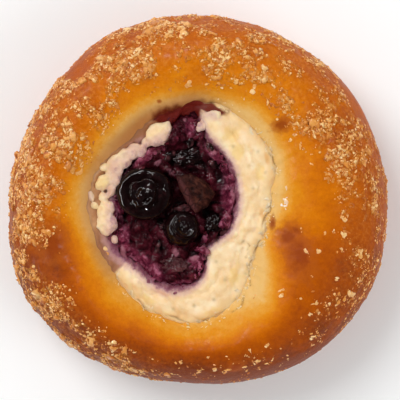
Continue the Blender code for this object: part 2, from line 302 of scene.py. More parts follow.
class Finish(Sheet):
    """A Principled material. What is even is set on its shader, and what varies is fed to it."""

    def __init__(self, name, even):
        self.material = bpy.data.materials.new(name)
        self.material.use_nodes = True
        super().__init__(self.material.node_tree)
        self.shader = self.tree.nodes["Principled BSDF"]
        for socket, value in even.items():
            self.shader.inputs[socket].default_value = value
        place = self.node("ShaderNodeTexCoord", output="Object")
        in_mm = {"Vector": place, "Scale": 1.0 / MM}
        self.spot = self.node("ShaderNodeVectorMath", {"operation": "SCALE"}, in_mm)

    def told(self, name):
        """What the mesh tells of each of its points under this name."""
        return self.node("ShaderNodeAttribute", {"attribute_name": name}, output="Fac")

    def cloud(self, span, detail=2.0, roughness=0.5, distortion=0.0):
        """Soft noise from 0 to 1 whose swells are about this many mm apart."""
        sockets = {
            "Vector": self.spot,
            "Scale": 1.0 / span,
            "Detail": detail,
            "Roughness": roughness,
            "Distortion": distortion,
        }
        return self.node("ShaderNodeTexNoise", {}, sockets)

    def cells(self, span, spot):
        """Distance from the middle of cells that are about this many mm wide."""
        sockets = {"Vector": spot, "Scale": 1.0 / span}
        return self.node("ShaderNodeTexVoronoi", {"feature": "F1"}, sockets, "Distance")

    def step(self, value, low, high):
        """0 below low, 1 above high, and a smooth step between them."""
        sockets = {"Value": value, "From Min": low, "From Max": high}
        return self.node("ShaderNodeMapRange", {"interpolation_type": "SMOOTHSTEP"}, sockets)

    def ramp(self, value, stops):
        return self.node("ShaderNodeValToRGB", {"stops": stops}, {"Fac": value})

    def blend(self, share, first, second):
        """The first colour where the share is 0, and the second where it is 1."""
        settings = {"data_type": "RGBA", "blend_type": "MIX"}
        return self.node("ShaderNodeMix", settings, {0: share, 6: first, 7: second}, 2)

    def bump(self, height, depth, over=None):
        """Relief too fine for the mesh, where a height of 1 stands this many mm proud."""
        sockets = {"Height": height, "Distance": depth * MM}
        if over is not None:
            sockets["Normal"] = over
        return self.node("ShaderNodeBump", {}, sockets)

    def wear(self, socket, value):
        """Feeds a socket of the shader."""
        self.join(self.shader.inputs[socket], value)


def glazed_crust():
    """Sweet dough from cream at the filling, through gold, to brown at the rim, egg-washed."""
    even = {
        "IOR": 1.45,
        "Specular IOR Level": 0.06,
        "Subsurface Weight": 0.05,
        "Subsurface Radius": (1.0, 0.42, 0.1),
        "Subsurface Scale": 1.0 * MM,
        "Coat Roughness": 0.22,
        "Coat IOR": 1.45,
    }
    crust = Finish("glazed_crust", even)
    bake = crust.told("bake")
    cover = crust.told("cover")
    patches = crust.cloud(7.0, 3.0, 0.55)
    freckles = crust.cloud(1.3, 3.0, 0.6)
    grain = crust.cloud(0.5, 2.0, 0.6)
    mottled = (patches - 0.5) * 0.3 + (freckles - 0.5) * 0.2 + (grain - 0.5) * 0.12
    browned = bake + mottled * crust.step(bake, 0.0, 0.3) + crust.told("tan") * 0.16
    stops = (
        (0.0, paint(238, 200, 148)),
        (0.12, paint(231, 186, 112)),
        (0.25, paint(227, 160, 60)),
        (0.38, paint(222, 140, 18)),
        (0.54, paint(210, 116, 0)),
        (0.70, paint(188, 92, 0)),
        (0.86, paint(160, 70, 2)),
        (1.0, paint(122, 50, 10)),
    )
    colour = crust.ramp(browned, stops)
    swirl = crust.node("ShaderNodeTexNoise", {}, {"Vector": crust.spot, "Scale": 0.55}, "Color")
    bent_by = 1.8
    bent = {0: swirl, 1: (bent_by, bent_by, bent_by), 2: crust.spot}
    stirred = crust.node("ShaderNodeVectorMath", {"operation": "MULTIPLY_ADD"}, bent)
    melted = crust.cells(1.35, stirred)
    strewn = crust.step(crust.told("clump") + (freckles - 0.5) * 0.7, 0.3, 0.75)
    crest = (1.0 - crust.step(melted, 0.22, 0.6)) * strewn
    colour = crust.blend(crest * 0.5, colour, paint(230, 154, 60))
    # Painted shade: darker in the creases between the melted crumbs.
    colour = crust.blend(crust.step(melted, 0.5, 0.8) * strewn * 0.4, colour, paint(146, 66, 12))
    tan = cover * crust.step(crust.cloud(0.9, 3.0, 0.6), 0.45, 0.65)
    colour = crust.blend(tan * 0.3, colour, paint(224, 146, 56))
    blotches = crust.cloud(1.9, 4.0, 0.62)
    scorched = crust.told("scorch") * 1.3 + (blotches - 0.5) * 1.3
    colour = crust.blend(crust.step(scorched, 0.2, 0.8) * 0.7, colour, paint(172, 84, 20))
    colour = crust.blend(crust.step(scorched, 0.7, 1.3) * 0.7, colour, paint(140, 54, 8))
    # Painted shade, partly damp dough: the well's wall is darker where it faces away from the key light.
    damp_and_shade = crust.told("damp_and_shade") + (patches - 0.5) * 0.4 * crust.told("damp_and_shade")
    colour = crust.blend(crust.step(damp_and_shade, 0.05, 0.95) * 0.92, colour, paint(164, 92, 32))
    colour = crust.blend(crust.told("bare") * 0.6, colour, paint(196, 138, 84))
    flour = crust.told("foot") * crust.step(crust.cloud(3.2, 4.0, 0.6), 0.42, 0.7)
    colour = crust.blend(flour * 0.5, colour, paint(226, 178, 122))
    stained = crust.step(crust.told("stain") + (freckles - 0.5) * 0.5, 0.0, 1.1)
    colour = crust.blend(stained * 0.97, colour, paint(96, 16, 6))
    # Painted shade in the cracks between the cheese and the dough.
    colour = crust.blend(crust.told("crack") * 0.6, colour, paint(120, 76, 36))
    crust.wear("Base Color", colour)
    crust.wear("Roughness", 0.46 + (patches - 0.5) * 0.14 + crust.told("foot") * 0.3)
    glaze = crust.step(bake, 0.1, 0.5) * crust.step(patches, 0.3, 0.7) * (1.0 - crust.told("foot"))
    crust.wear("Coat Weight", glaze * (1.0 - stained) * 0.2)
    skin = crust.bump(crust.cloud(0.6, 4.0, 0.62), 0.15)
    crust.wear("Normal", crust.bump(crest + strewn * 0.3, 0.32, skin))
    return crust


def crumb_finish(name, pale, ripe, dark):
    """Butter crumbs, baked unevenly and glossed with egg wash."""
    even = {
        "IOR": 1.46,
        "Specular IOR Level": 0.2,
        "Subsurface Weight": 0.08,
        "Subsurface Radius": (1.0, 0.5, 0.22),
        "Subsurface Scale": 0.8 * MM,
        "Coat Roughness": 0.12,
    }
    crumb = Finish(name, even)
    # The tone runs from painted shade at each grain's base to a pale end that is partly painted
    # highlight.
    tone = crumb.told("tone") + (crumb.cloud(0.7, 3.0, 0.6) - 0.5) * 0.5
    colour = crumb.ramp(tone, ((0.0, dark), (0.5, ripe), (1.0, pale)))
    crumb.wear("Base Color", colour)
    crumb.wear("Roughness", 0.34 + crumb.cloud(0.6, 2.0) * 0.25)
    crumb.wear("Coat Weight", crumb.step(crumb.cloud(2.4, 2.0), 0.35, 0.6))
    crumb.wear("Normal", crumb.bump(crumb.cloud(0.32, 3.0, 0.6), 0.1))
    return crumb


def baked_cheese():
    """Curd cheese: cream, yellower where its butter has risen, purple where the berries ran."""
    even = {
        "IOR": 1.4,
        "Specular IOR Level": 0.3,
        "Subsurface Weight": 0.35,
        "Subsurface Radius": (1.0, 0.72, 0.42),
        "Subsurface Scale": 1.8 * MM,
        "Coat Roughness": 0.3,
    }
    cheese = Finish("baked_cheese", even)
    curds = cheese.cloud(3.2, 4.0, 0.55)
    colour = cheese.ramp(
        curds, ((0.3, paint(236, 200, 146)), (0.5, paint(246, 216, 170)), (0.72, paint(253, 232, 196)))
    )
    buttery = cheese.step(cheese.told("butter") + (cheese.cloud(2.2, 3.0) - 0.5) * 1.4, 0.3, 0.9)
    colour = cheese.blend(buttery * 0.6, colour, paint(240, 204, 126))
    rusty = cheese.step(cheese.told("seam") + (cheese.cloud(1.6, 4.0, 0.6) - 0.5) * 0.9, 0.35, 0.95)
    colour = cheese.blend(rusty * 0.5, colour, paint(238, 198, 132))
    bare = cheese.step(cheese.told("bare") + (curds - 0.5) * 0.35, 0.35, 0.65)
    wall = cheese.ramp(curds, ((0.3, paint(178, 122, 86)), (0.7, paint(212, 162, 114))))
    # Painted shade: the bare wall is darker at its two ends.
    wall = cheese.blend(cheese.told("wall_shade") * 0.8, wall, paint(150, 88, 56))
    colour = cheese.blend(bare * 0.95, colour, wall)
    run = cheese.told("juice") + (cheese.cloud(1.5, 4.0, 0.65) - 0.5) * 0.7
    colour = cheese.blend(cheese.step(run, 0.08, 0.6) * 0.5, colour, paint(210, 166, 170))
    colour = cheese.blend(cheese.step(run, 0.58, 0.98) * 0.84, colour, paint(148, 84, 110))
    colour = cheese.blend(cheese.step(run, 0.82, 1.14) * 0.85, colour, paint(112, 42, 66))
    stained = cheese.step(cheese.told("stain") + (curds - 0.5) * 0.5, 0.12, 0.6)
    colour = cheese.blend(stained * 0.97, colour, paint(108, 14, 5))
    toasted = cheese.step(cheese.told("toast") + (curds - 0.5) * 0.7, 0.35, 1.0)
    colour = cheese.blend(toasted * 0.6, colour, paint(224, 160, 80))
    colour = cheese.blend(cheese.told("pit") * 0.5, colour, paint(170, 146, 96))
    # Painted shade in the cracks between the cheese and the dough.
    colour = cheese.blend(cheese.told("crack") * 0.6, colour, paint(146, 106, 56))
    cheese.wear("Base Color", colour)
    cheese.wear("Roughness", 0.48 + (curds - 0.5) * 0.2)
    wet = cheese.step(cheese.cloud(2.8, 2.0), 0.5, 0.75) * 0.3
    cheese.wear("Coat Weight", wet + cheese.step(run, 0.5, 0.9) * 0.3)
    fine = cheese.bump(cheese.cloud(0.7, 4.0, 0.6), 0.06)
    cheese.wear("Normal", cheese.bump(cheese.cloud(1.9, 3.0), 0.22, fine))
    return cheese


def cooked_compote():
    """Berries cooked down: gaps painted near black as shade, maroon mash, purple at the cheese."""
    even = {
        "IOR": 1.42,
        "Specular IOR Level": 0.05,
        "Subsurface Weight": 0.06,
        "Subsurface Radius": (1.0, 0.25, 0.4),
        "Subsurface Scale": 1.0 * MM,
        "Coat Roughness": 0.1,
    }
    compote = Finish("cooked_compote", even)
    mash = compote.cloud(3.4, 5.0, 0.62, 0.6)
    shreds = compote.cloud(1.8, 4.0, 0.56, 0.5)
    gap_shade = compote.told("low")
    colour = compote.ramp(
        mash, ((0.36, paint(20, 2, 5)), (0.5, paint(56, 8, 18)), (0.66, paint(96, 28, 42)))
    )
    purple = compote.step(compote.told("purple") + (mash - 0.5) * 0.8, 0.25, 0.8)
    rosy = ((0.34, paint(68, 10, 32)), (0.5, paint(116, 40, 62)), (0.64, paint(166, 94, 116)))
    colour = compote.blend(purple, colour, compote.ramp(shreds, rosy))
    milky = compote.step(compote.told("milky") + (shreds - 0.5), 0.3, 0.8)
    colour = compote.blend(milky * 0.8, colour, paint(158, 98, 112))
    # Painted shade: the gaps between the berries are painted near black.
    colour = compote.blend(gap_shade * 0.95, colour, paint(9, 2, 3))
    compote.wear("Base Color", colour)
    compote.wear("Roughness", 0.34 + shreds * 0.2)
    compote.wear("Coat Weight", compote.step(mash, 0.48, 0.62) * 0.5 + 0.04)
    rough = compote.bump(shreds, 0.3)
    compote.wear("Normal", compote.bump(compote.cloud(0.5, 3.0), 0.06, rough))
    return compote


def wet_skin():
    """Cooked berry skin: nearly black, wet, with a purple cast where it is thin."""
    even = {
        "IOR": 1.45,
        "Specular IOR Level": 0.03,
        "Coat Roughness": 0.05,
        "Coat IOR": 1.5,
    }
    skin = Finish("wet_skin", even)
    cast = skin.cloud(2.2, 4.0, 0.62)
    thin = skin.told("thin")
    dark = ((0.3, paint(8, 1, 1)), (0.55, paint(18, 3, 4)), (0.8, paint(44, 14, 16)))
    colour = skin.ramp(cast, dark)
    worn = skin.step(thin + (cast - 0.5) * 0.9, 0.2, 0.9)
    colour = skin.blend(worn * 0.8, colour, paint(104, 56, 60))
    skin.wear("Base Color", colour)
    skin.wear("Roughness", 0.3 + cast * 0.24)
    skin.wear("Coat Weight", 0.3 + skin.step(cast, 0.35, 0.65) * 0.4)
    skin.wear("Normal", skin.bump(skin.cloud(1.6, 1.0, 0.5), 0.03))
    return skin


def dried_skin():
    """A berry skin that dried in the oven: matte, leathery and brown."""
    even = {"IOR": 1.45, "Specular IOR Level": 0.1, "Coat Roughness": 0.25}
    skin = Finish("dried_skin", even)
    leather = skin.cloud(1.8, 4.0, 0.65, 0.4)
    creases = skin.told("crease")
    colour = skin.ramp(
        leather, ((0.3, paint(26, 6, 4)), (0.5, paint(48, 17, 12)), (0.75, paint(84, 42, 30)))
    )
    colour = skin.blend(skin.told("rosy") * 0.5, colour, paint(100, 52, 54))
    # Painted shade: the creases and the hole are painted nearly black.
    colour = skin.blend(creases * 0.8, colour, paint(18, 6, 7))
    skin.wear("Base Color", colour)
    skin.wear("Roughness", 0.5 + leather * 0.25)
    skin.wear("Coat Weight", skin.step(leather, 0.55, 0.8) * 0.3)
    skin.wear("Normal", skin.bump(skin.cloud(0.6, 4.0, 0.65), 0.22))
    return skin


def glaze_sugar():
    """A few drops of sugar glaze, nearly white and glossy."""
    even = {
        "IOR": 1.48,
        "Subsurface Weight": 0.2,
        "Subsurface Radius": (1.0, 0.8, 0.6),
        "Subsurface Scale": 0.8 * MM,
        "Coat Roughness": 0.06,
    }
    glaze = Finish("glaze_sugar", even)
    cloudy = glaze.cloud(0.9, 3.0, 0.6)
    thin = glaze.told("tone")
    colour = glaze.ramp(cloudy, ((0.35, paint(250, 226, 186)), (0.65, paint(255, 250, 238))))
    glaze.wear("Base Color", glaze.blend(1.0 - thin, colour, paint(226, 160, 84)))
    glaze.wear("Roughness", 0.2 + cloudy * 0.2)
    glaze.wear("Coat Weight", 0.5 + cloudy * 0.5)
    glaze.wear("Normal", glaze.bump(glaze.cloud(0.5, 2.0), 0.06))
    return glaze


def plain_floor():
    """A matte floor, as good as white."""
    floor = Finish("pale_floor", {"Roughness": 0.9, "Specular IOR Level": 0.1})
    nearly_white = ((0.3, paint(253, 255, 255)), (0.7, paint(255, 255, 255)))
    floor.wear("Base Color", floor.ramp(floor.cloud(60.0), nearly_white))
    return floor


# Lines, plans and turned bodies


def step_between(value, low, high):
    """0 up to low, 1 from high on, and a smooth step between them."""
    t = min(1.0, max(0.0, (value - low) / (high - low)))
    return t * t * (3.0 - 2.0 * t)


def quarter(middle, half, start_deg, end_deg, steps, fullness=2.0):
    """Points (r, z) along part of a superellipse, both ends included."""
    points = []
    for i in range(steps + 1):
        angle = math.radians(start_deg + (end_deg - start_deg) * i / steps)
        c = math.cos(angle)
        s = math.sin(angle)
        r = middle[0] + half[0] * math.copysign(abs(c) ** (2.0 / fullness), c)
        z = middle[1] + half[1] * math.copysign(abs(s) ** (2.0 / fullness), s)
        points.append((r, z))
    return points


def evenly(line, apart):
    """The same line with its points this far apart."""
    reach = [0.0]
    for (r0, z0), (r1, z1) in zip(line, line[1:]):
        reach.append(reach[-1] + math.hypot(r1 - r0, z1 - z0))
    count = max(2, round(reach[-1] / apart))
    points = []
    k = 0
    for i in range(count + 1):
        at = reach[-1] * i / count
        while k < len(line) - 2 and reach[k + 1] < at:
            k += 1
        t = (at - reach[k]) / max(1e-9, reach[k + 1] - reach[k])
        (r0, z0), (r1, z1) = line[k], line[k + 1]
        points.append((r0 + (r1 - r0) * t, z0 + (z1 - z0) * t))
    return points


def bowl_line(floor_r, floor_z, edge_r, edge_z, apart):
    """A flat floor and a rounded wall that is upright at the edge, from the centre line out."""
    floor = evenly([(0.0, floor_z), (floor_r, floor_z)], FLAT_APART)
    wall = quarter((floor_r, edge_z), (edge_r - floor_r, edge_z - floor_z), -90, 0, BOWL_STEPS)
    return floor + evenly(wall, apart)[1:]


def edge_reach(angle, middle, edge):
    """How far the closed edge lies from its middle this way, smooth between the edge's points."""
    spokes = [Vector(point) - middle for point in edge]
    polar = sorted((math.atan2(spoke.y, spoke.x), spoke.length) for spoke in spokes)
    count = len(polar)
    after = next((i for i, (there, _) in enumerate(polar) if there > angle), count)
    near = []
    for k in range(after - 2, after + 2):
        there, reach = polar[k % count]
        near.append((there + 2.0 * math.pi * (k // count), reach))
    (a0, r0), (a1, r1), (a2, r2), (a3, r3) = near
    t = (angle - a1) / (a2 - a1)
    slope_1 = (r2 - r0) / (a2 - a0) * (a2 - a1)
    slope_2 = (r3 - r1) / (a3 - a1) * (a2 - a1)
    ease = t * t * (3.0 - 2.0 * t)
    return (
        r1 * (1.0 - ease)
        + r2 * ease
        + slope_1 * t * (1.0 - t) ** 2
        - slope_2 * t * t * (1.0 - t)
    )


def around(angle, told):
    """What a list that goes once round the bun tells at this angle."""
    at = (angle / (2.0 * math.pi)) % 1.0 * len(told)
    k = int(at)
    t = step_between(at - k, 0.0, 1.0)
    return told[k % len(told)] * (1.0 - t) + told[(k + 1) % len(told)] * t


def bun_reach(angle):
    """How far the bun's widest edge lies from the origin this way."""
    waves = sum(high * math.cos(n * (angle - math.radians(crest))) for n, high, crest in BUN_WAVES)
    return BUN_R + waves


def compote_reach(angle):
    """How far the compote's edge lies from its middle this way, where it shows."""
    return edge_reach(angle, COMPOTE_MIDDLE, COMPOTE_EDGE) - around(angle, CHEESE_OVER)


def lean(x, y):
    """The height share that the bun's slight lean leaves here."""
    way = math.radians(LEAN_DEG)
    return 1.0 - LEAN * (x * math.cos(way) + y * math.sin(way)) / BUN_R


class Spoke:
    """One column of a turned body, with the plan's edges on it."""

    def __init__(self, angle):
        self.way = Vector((math.cos(angle), math.sin(angle)))
        self.rim = self.way * bun_reach(angle)
        there = self.way.to_3d()
        ragged = 0.8 * noise.noise(there * 5.0) + 0.5 * noise.noise(there * 12.0) - 0.3
        self.dish = COMPOTE_MIDDLE + self.way * (compote_reach(angle) + ragged)
        torn = 0.7 * noise.noise(there * 6.0 + Vector((5.0, 0.0, 0.0)))
        torn += 0.5 * noise.noise(there * 17.0 + Vector((0.0, 5.0, 0.0)))
        self.well = WELL_MIDDLE + self.way * (edge_reach(angle, WELL_MIDDLE, WELL_EDGE) + torn)

    def turned(self, r, z):
        """The point before the plan is laid over it, which the solids' relief is told by."""
        return Vector((self.way.x * r, self.way.y * r, z))

    def placed(self, r, z, on_foot=False):
        """The point once the plan and the lean are laid over it."""
        if on_foot:
            place = self.rim * (r / BUN_R)
        elif r <= DISH_R:
            place = COMPOTE_MIDDLE.lerp(self.dish, r / DISH_R)
        elif r <= WELL_R:
            place = self.dish.lerp(self.well, (r - DISH_R) / (WELL_R - DISH_R))
        else:
            place = self.well.lerp(self.rim, (r - WELL_R) / (BUN_R - WELL_R))
        return Vector((place.x, place.y, z * lean(place.x, place.y)))


def spokes_of(columns):
    """The columns of a turned body, from one side of the seam round to the other."""
    return [Spoke(2.0 * math.pi * i / columns - math.pi) for i in range(columns)]


def grid_faces(rows, columns):
    """Faces of a turned body: a fan at each end of its line, and squares between."""
    faces = []
    last = 1 + rows * columns
    for j in range(columns):
        after = (j + 1) % columns
        faces.append((0, 1 + j, 1 + after))
        for i in range(rows - 1):
            here = 1 + i * columns
            below = here + columns
            faces.append((here + j, below + j, below + after, here + after))
        edge = 1 + (rows - 1) * columns
        faces.append((edge + after, edge + j, last))
    return faces


# Meshes, relief, and what a mesh tells its finish


def made_piece(name, corners, faces, finish, told=None):
    """A piece from corners in mm, with what it tells its finish of each corner."""
    mesh = bpy.data.meshes.new(name)
    mesh.from_pydata([corner * MM for corner in corners], [], faces)
    for label, values in (told or {}).items():
        mesh.attributes.new(label, "FLOAT", "POINT").data.foreach_set("value", values)
    mesh.materials.append(finish.material)
    mesh.shade_smooth()
    piece = bpy.data.objects.new(name, mesh)
    bpy.context.scene.collection.objects.link(piece)
    return piece


def turned_piece(name, line, columns, shape, finish):
    """A closed body turned from a line. shape(spoke, r, z, out) gives each point's place."""
    spokes = spokes_of(columns)
    corners = []
    for i, (r, z) in enumerate(line):
        before = line[max(0, i - 1)]
        after = line[min(len(line) - 1, i + 1)]
        out = Vector((before[1] - after[1], after[0] - before[0])).normalized()
        if r < 1e-6:
            corners.append(shape(spokes[0], r, z, out))
        else:
            corners.extend(shape(spoke, r, z, out) for spoke in spokes)
    return made_piece(name, corners, grid_faces(len(line) - 2, columns), finish)


def raise_relief(piece, height):
    """Moves each corner along its normal by height(point, normal) mm."""
    mesh = piece.data
    moved = []
    for vertex in mesh.vertices:
        point = vertex.co / MM
        normal = Vector(vertex.normal)
        moved.extend((point + normal * height(point, normal)) * MM)
    mesh.vertices.foreach_set("co", moved)
    mesh.update()


def tell(piece, label, value):
    """Tells the finish a value from 0 to 1 for each corner."""
    mesh = piece.data
    values = [min(1.0, max(0.0, value(vertex.co / MM))) for vertex in mesh.vertices]
    mesh.attributes.new(label, "FLOAT", "POINT").data.foreach_set("value", values)


def turned_along(way_deg, matrix):
    """The matrix with this direction in plan in the place of its X axis."""
    there = Matrix.Rotation(math.radians(way_deg), 3, "Z")
    return there @ matrix @ there.transposed()


# The round bodies that grains and berries start from, kept by their fineness
BALLS = {}


def ball(fineness):
    """Corners and faces of a round body, made once for each fineness."""
    if fineness not in BALLS:
        shape = bmesh.new()
        bmesh.ops.create_icosphere(shape, subdivisions=fineness, radius=1.0)
        corners = [vertex.co.copy() for vertex in shape.verts]
        faces = [tuple(vertex.index for vertex in face.verts) for face in shape.faces]
        shape.free()
        BALLS[fineness] = (corners, faces)
    return BALLS[fineness]


class Heap:
    """Many small bodies gathered into one piece, each with its own tone."""

    def __init__(self):
        self.corners = []
        self.faces = []
        self.tones = []

    def add(self, corners, faces, tones):
        """Adds one body, with the tone of each of its corners."""
        start = len(self.corners)
        self.corners.extend(corners)
        self.faces.extend(tuple(start + index for index in face) for face in faces)
        self.tones.extend(tones)

    def piece(self, name, finish):
        return made_piece(name, self.corners, self.faces, finish, {"tone": self.tones})


def any_turn(draw):
    """A turn to any side, with a little tip."""
    turn = Matrix.Rotation(draw.uniform(0.0, 2.0 * math.pi), 3, "Z")
    tip = Matrix.Rotation(draw.uniform(-0.5, 0.5), 3, "X")
    return turn @ tip


def add_grain(heap, draw, point, normal, radius, fineness, uneven, sunk, tone):
    """An uneven grain lying on a surface, sunk in by a share of its radius, with painted shade at its
    base.
    """
    corners, faces = ball(fineness)
    sizes = (draw.uniform(0.85, 1.6), draw.uniform(0.7, 1.1), draw.uniform(0.45, 0.8))
    upright = normal.to_track_quat("Z", "Y").to_matrix() @ any_turn(draw) @ Matrix.Diagonal(sizes)
    shift = Vector((draw.uniform(-9.0, 9.0), draw.uniform(-9.0, 9.0), draw.uniform(-9.0, 9.0)))
    middle = point - normal * (radius * sunk)
    placed = []
    for corner in corners:
        reach = radius * (1.0 + uneven * noise.noise(corner * 1.7 + shift))
        placed.append(middle + upright @ (corner * reach))
    # Painted shade: each grain's tone falls to 0, its darkest, towards its base.
    heap.add(placed, faces, [tone * step_between(corner.z, -0.5, 0.7) for corner in corners])


# How many times the skin round fused bodies is smoothed
SMOOTHINGS = 4


def fused(heap, voxel):
    """The corners and faces of one closed skin round bodies that have grown together."""
    mesh = bpy.data.meshes.new("lumps")
    mesh.from_pydata([corner * MM for corner in heap.corners], [], heap.faces)
    lumps = bpy.data.objects.new("lumps", mesh)
    bpy.context.scene.collection.objects.link(lumps)
    fuse = lumps.modifiers.new("fuse", "REMESH")
    fuse.mode = "VOXEL"
    fuse.voxel_size = voxel * MM
    evaluated = lumps.evaluated_get(bpy.context.evaluated_depsgraph_get())
    skin = bmesh.new()
    skin.from_mesh(evaluated.to_mesh())
    evaluated.to_mesh_clear()
    bpy.data.objects.remove(lumps)
    bpy.data.meshes.remove(mesh)
    axes = {"use_axis_x": True, "use_axis_y": True, "use_axis_z": True}
    for _ in range(SMOOTHINGS):
        bmesh.ops.smooth_vert(skin, verts=skin.verts, factor=0.5, **axes)
    corners = [vertex.co / MM for vertex in skin.verts]
    faces = [tuple(vertex.index for vertex in face.verts) for face in skin.faces]
    skin.free()
    return corners, faces


def surface_tree(piece):
    """A piece's surface, as places on it are looked up."""
    shape = bmesh.new()
    shape.from_mesh(piece.data)
    tree = BVHTree.FromBMesh(shape)
    shape.free()
    return tree


def top_place(trees, x, y):
    """The highest point of these surfaces here, seen from above, and its normal, or two Nones."""
    down = Vector((0.0, 0.0, -1.0))
    casts = [tree.ray_cast(Vector((x, y, ABOVE_ALL)) * MM, down) for tree in trees]
    hits = [cast for cast in casts if cast[0] is not None]
    if not hits:
        return None, None
    point, normal, _, _ = max(hits, key=lambda hit: hit[0].z)
    return point / MM, normal


# Shares from 0 to 1 that relief and finishes are told by


def ridge(value, at, width):
    """1 where the value is at this, fading to 0 on both sides of it."""
    return math.exp(-(((value - at) / width) ** 2))


def oval_share(point, middle, length, width, way_deg):
    """1 in the middle of an oval in plan, fading to about 0 outside it."""
    way = math.radians(way_deg)
    x = point.x - middle[0]
    y = point.y - middle[1]
    along = (x * math.cos(way) + y * math.sin(way)) / length
    across = (y * math.cos(way) - x * math.sin(way)) / width
    return math.exp(-(along * along + across * across))


def ovals(point, places):
    """1 in the middle of any of these ovals, fading to about 0 outside them all."""
    return max(oval_share(point, *place[:4]) for place in places)


def on_top(places):
    """Tells the ovals' share above the bun's widest line, and 0 below it."""
    return lambda point: ovals(point, places) if point.z > WIDEST_Z else 0.0


def gap_to(point, line):
    """Distance in plan from a line of points."""
    nearest = 1e9
    for (x0, y0), (x1, y1) in zip(line, line[1:]):
        dx = x1 - x0
        dy = y1 - y0
        t = ((point.x - x0) * dx + (point.y - y0) * dy) / (dx * dx + dy * dy)
        t = min(1.0, max(0.0, t))
        nearest = min(nearest, math.hypot(point.x - x0 - dx * t, point.y - y0 - dy * t))
    return nearest


def lump_height(point, span):
    """1 at the middle of each soft lump, and 0 in the creases between lumps."""
    nearest = noise.voronoi(point / span)[0][0]
    return max(0.0, 1.0 - 1.6 * nearest * nearest)


def crack_share(point):
    """1 in the middle of a crack, with a wavering course and width, and 0 away from it."""
    if point.z < TOP_Z or math.hypot(point.x, point.y) > WELL_REACH:
        return 0.0
    wander = noise.noise_vector(Vector((point.x, point.y, 0.0)) / 2.0) * 0.55
    there = point + wander
    width = CRACK_WIDTH * (0.85 + 0.8 * noise.noise(point / 2.4))
    open_here = step_between(noise.noise(Vector((point.x, point.y, 4.0)) / 3.0), -0.35, 0.05)
    return open_here * max(math.exp(-((gap_to(there, line) / width) ** 2)) for line in CRACKS)


def stain_share(point, wider=1.0):
    """1 where juice has run up the dough at the top of the well, and 0 away from it."""
    if point.z < TOP_Z or point.y < STAIN_FROM_Y:
        return 0.0
    wander = noise.noise_vector(Vector((point.x, point.y, 0.0)) / 3.0) * 1.1
    width = STAIN_WIDTH * wider * (1.0 - 0.3 * step_between(point.x, 1.5, 6.5))
    ragged = 1.0 + 0.5 * noise.noise(Vector((point.x, point.y, 8.0)) / 1.6)
    faded = 1.0 - 0.6 * step_between(point.x, 3.5, 8.0)
    return faded * math.exp(-((gap_to(point + wander, STAIN) / (width * ragged)) ** 2))


def clumped(point):
    """High where crumbs have clumped together, low in the bare gaps between clumps."""
    wide = 0.6 * noise.noise(point / 8.0)
    middling = 0.6 * noise.noise(point / 3.4)
    small = 0.4 * noise.noise(point / 1.5)
    return 0.5 + wide + middling + small


def clump_share(point):
    """1 where crumbs have clumped together, and 0 in the bare gaps."""
    return step_between(clumped(point), 0.1, 0.6)


def well_gap(point):
    """How far outside the well's edge a point lies in plan, in mm."""
    x = point.x - WELL_MIDDLE.x
    y = point.y - WELL_MIDDLE.y
    return math.hypot(x, y) - edge_reach(math.atan2(y, x), WELL_MIDDLE, WELL_EDGE)


def past_mash(point):
    """How far outside the compote's edge a point lies in plan, in mm."""
    x = point.x - COMPOTE_MIDDLE.x
    y = point.y - COMPOTE_MIDDLE.y
    return math.hypot(x, y) - compote_reach(math.atan2(y, x))


# The narrow side, in degrees round the compote's middle, where the cheese lies only in lumps: it
# starts and ends gradually. There the cheese is only a low slope up to the well's edge.
BARE_FROM_DEG = (70.0, 80.0)
BARE_TO_DEG = (222.0, 234.0)
BARE_RISE = 2.2


def bare_share(point):
    """1 where the cheese lies only in lumps and the dough's wall shows between them, else 0."""
    angle = math.degrees(math.atan2(point.y - COMPOTE_MIDDLE.y, point.x - COMPOTE_MIDDLE.x)) % 360.0
    return step_between(angle, *BARE_FROM_DEG) * (1.0 - step_between(angle, *BARE_TO_DEG))


# The crust


def bun_line():
    """The well, the slope up to the crest, the full side and the flat foot."""
    well = bowl_line(WELL_FLOOR_R, WELL_FLOOR_Z, WELL_R, WELL_EDGE_Z, WELL_APART)
    rise_half = (CREST_R - WELL_R, CREST_Z - WELL_EDGE_Z)
    rise = quarter((CREST_R, WELL_EDGE_Z), rise_half, 180, 90, RISE_STEPS, RISE_FULLNESS)
    side_half = (BUN_R - CREST_R, CREST_Z - WIDEST_Z)
    side = quarter((CREST_R, WIDEST_Z), side_half, 90, 0, SIDE_STEPS, SIDE_FULLNESS)
    foot_half = (BUN_R - FOOT_R, WIDEST_Z)
    foot = quarter((FOOT_R, WIDEST_Z), foot_half, 0, -90, RISE_STEPS, FOOT_FULLNESS)
    base = evenly([(FOOT_R, 0.0), (0.0, 0.0)], BASE_APART)
    line = well
    for stretch, apart in ((rise, RISE_APART), (side, SIDE_APART), (foot, FOOT_APART)):
        line = line + evenly(stretch, apart)[1:]
    return line + base[1:]


def out_share(point):
    """How far out a point on the crust lies: 1 at the rim, and more below the widest line."""
    angle = math.atan2(point.y, point.x)
    share = math.hypot(point.x, point.y) / bun_reach(angle)
    if point.z < WIDEST_Z:
        return 1.0 + (WIDEST_Z - point.z) / BELOW_WIDEST
    return share


def crumb_cover(point):
    """How thickly the crumbs lie here, from 0 to 1."""
    angle = math.atan2(point.y, point.x)
    share = out_share(point)
    start = around(angle, CRUMB_FROM)
    end = around(angle, CRUMB_TO)
    inside = step_between(share, start - 0.05, start + 0.1)
    outside = 1.0 - step_between(share, end - 0.04, end + 0.14)
    clear = 1.0 - min(1.0, 1.5 * ovals(point, SMOOTH_DENTS))
    return around(angle, CRUMB_COVER) * inside * outside * clear


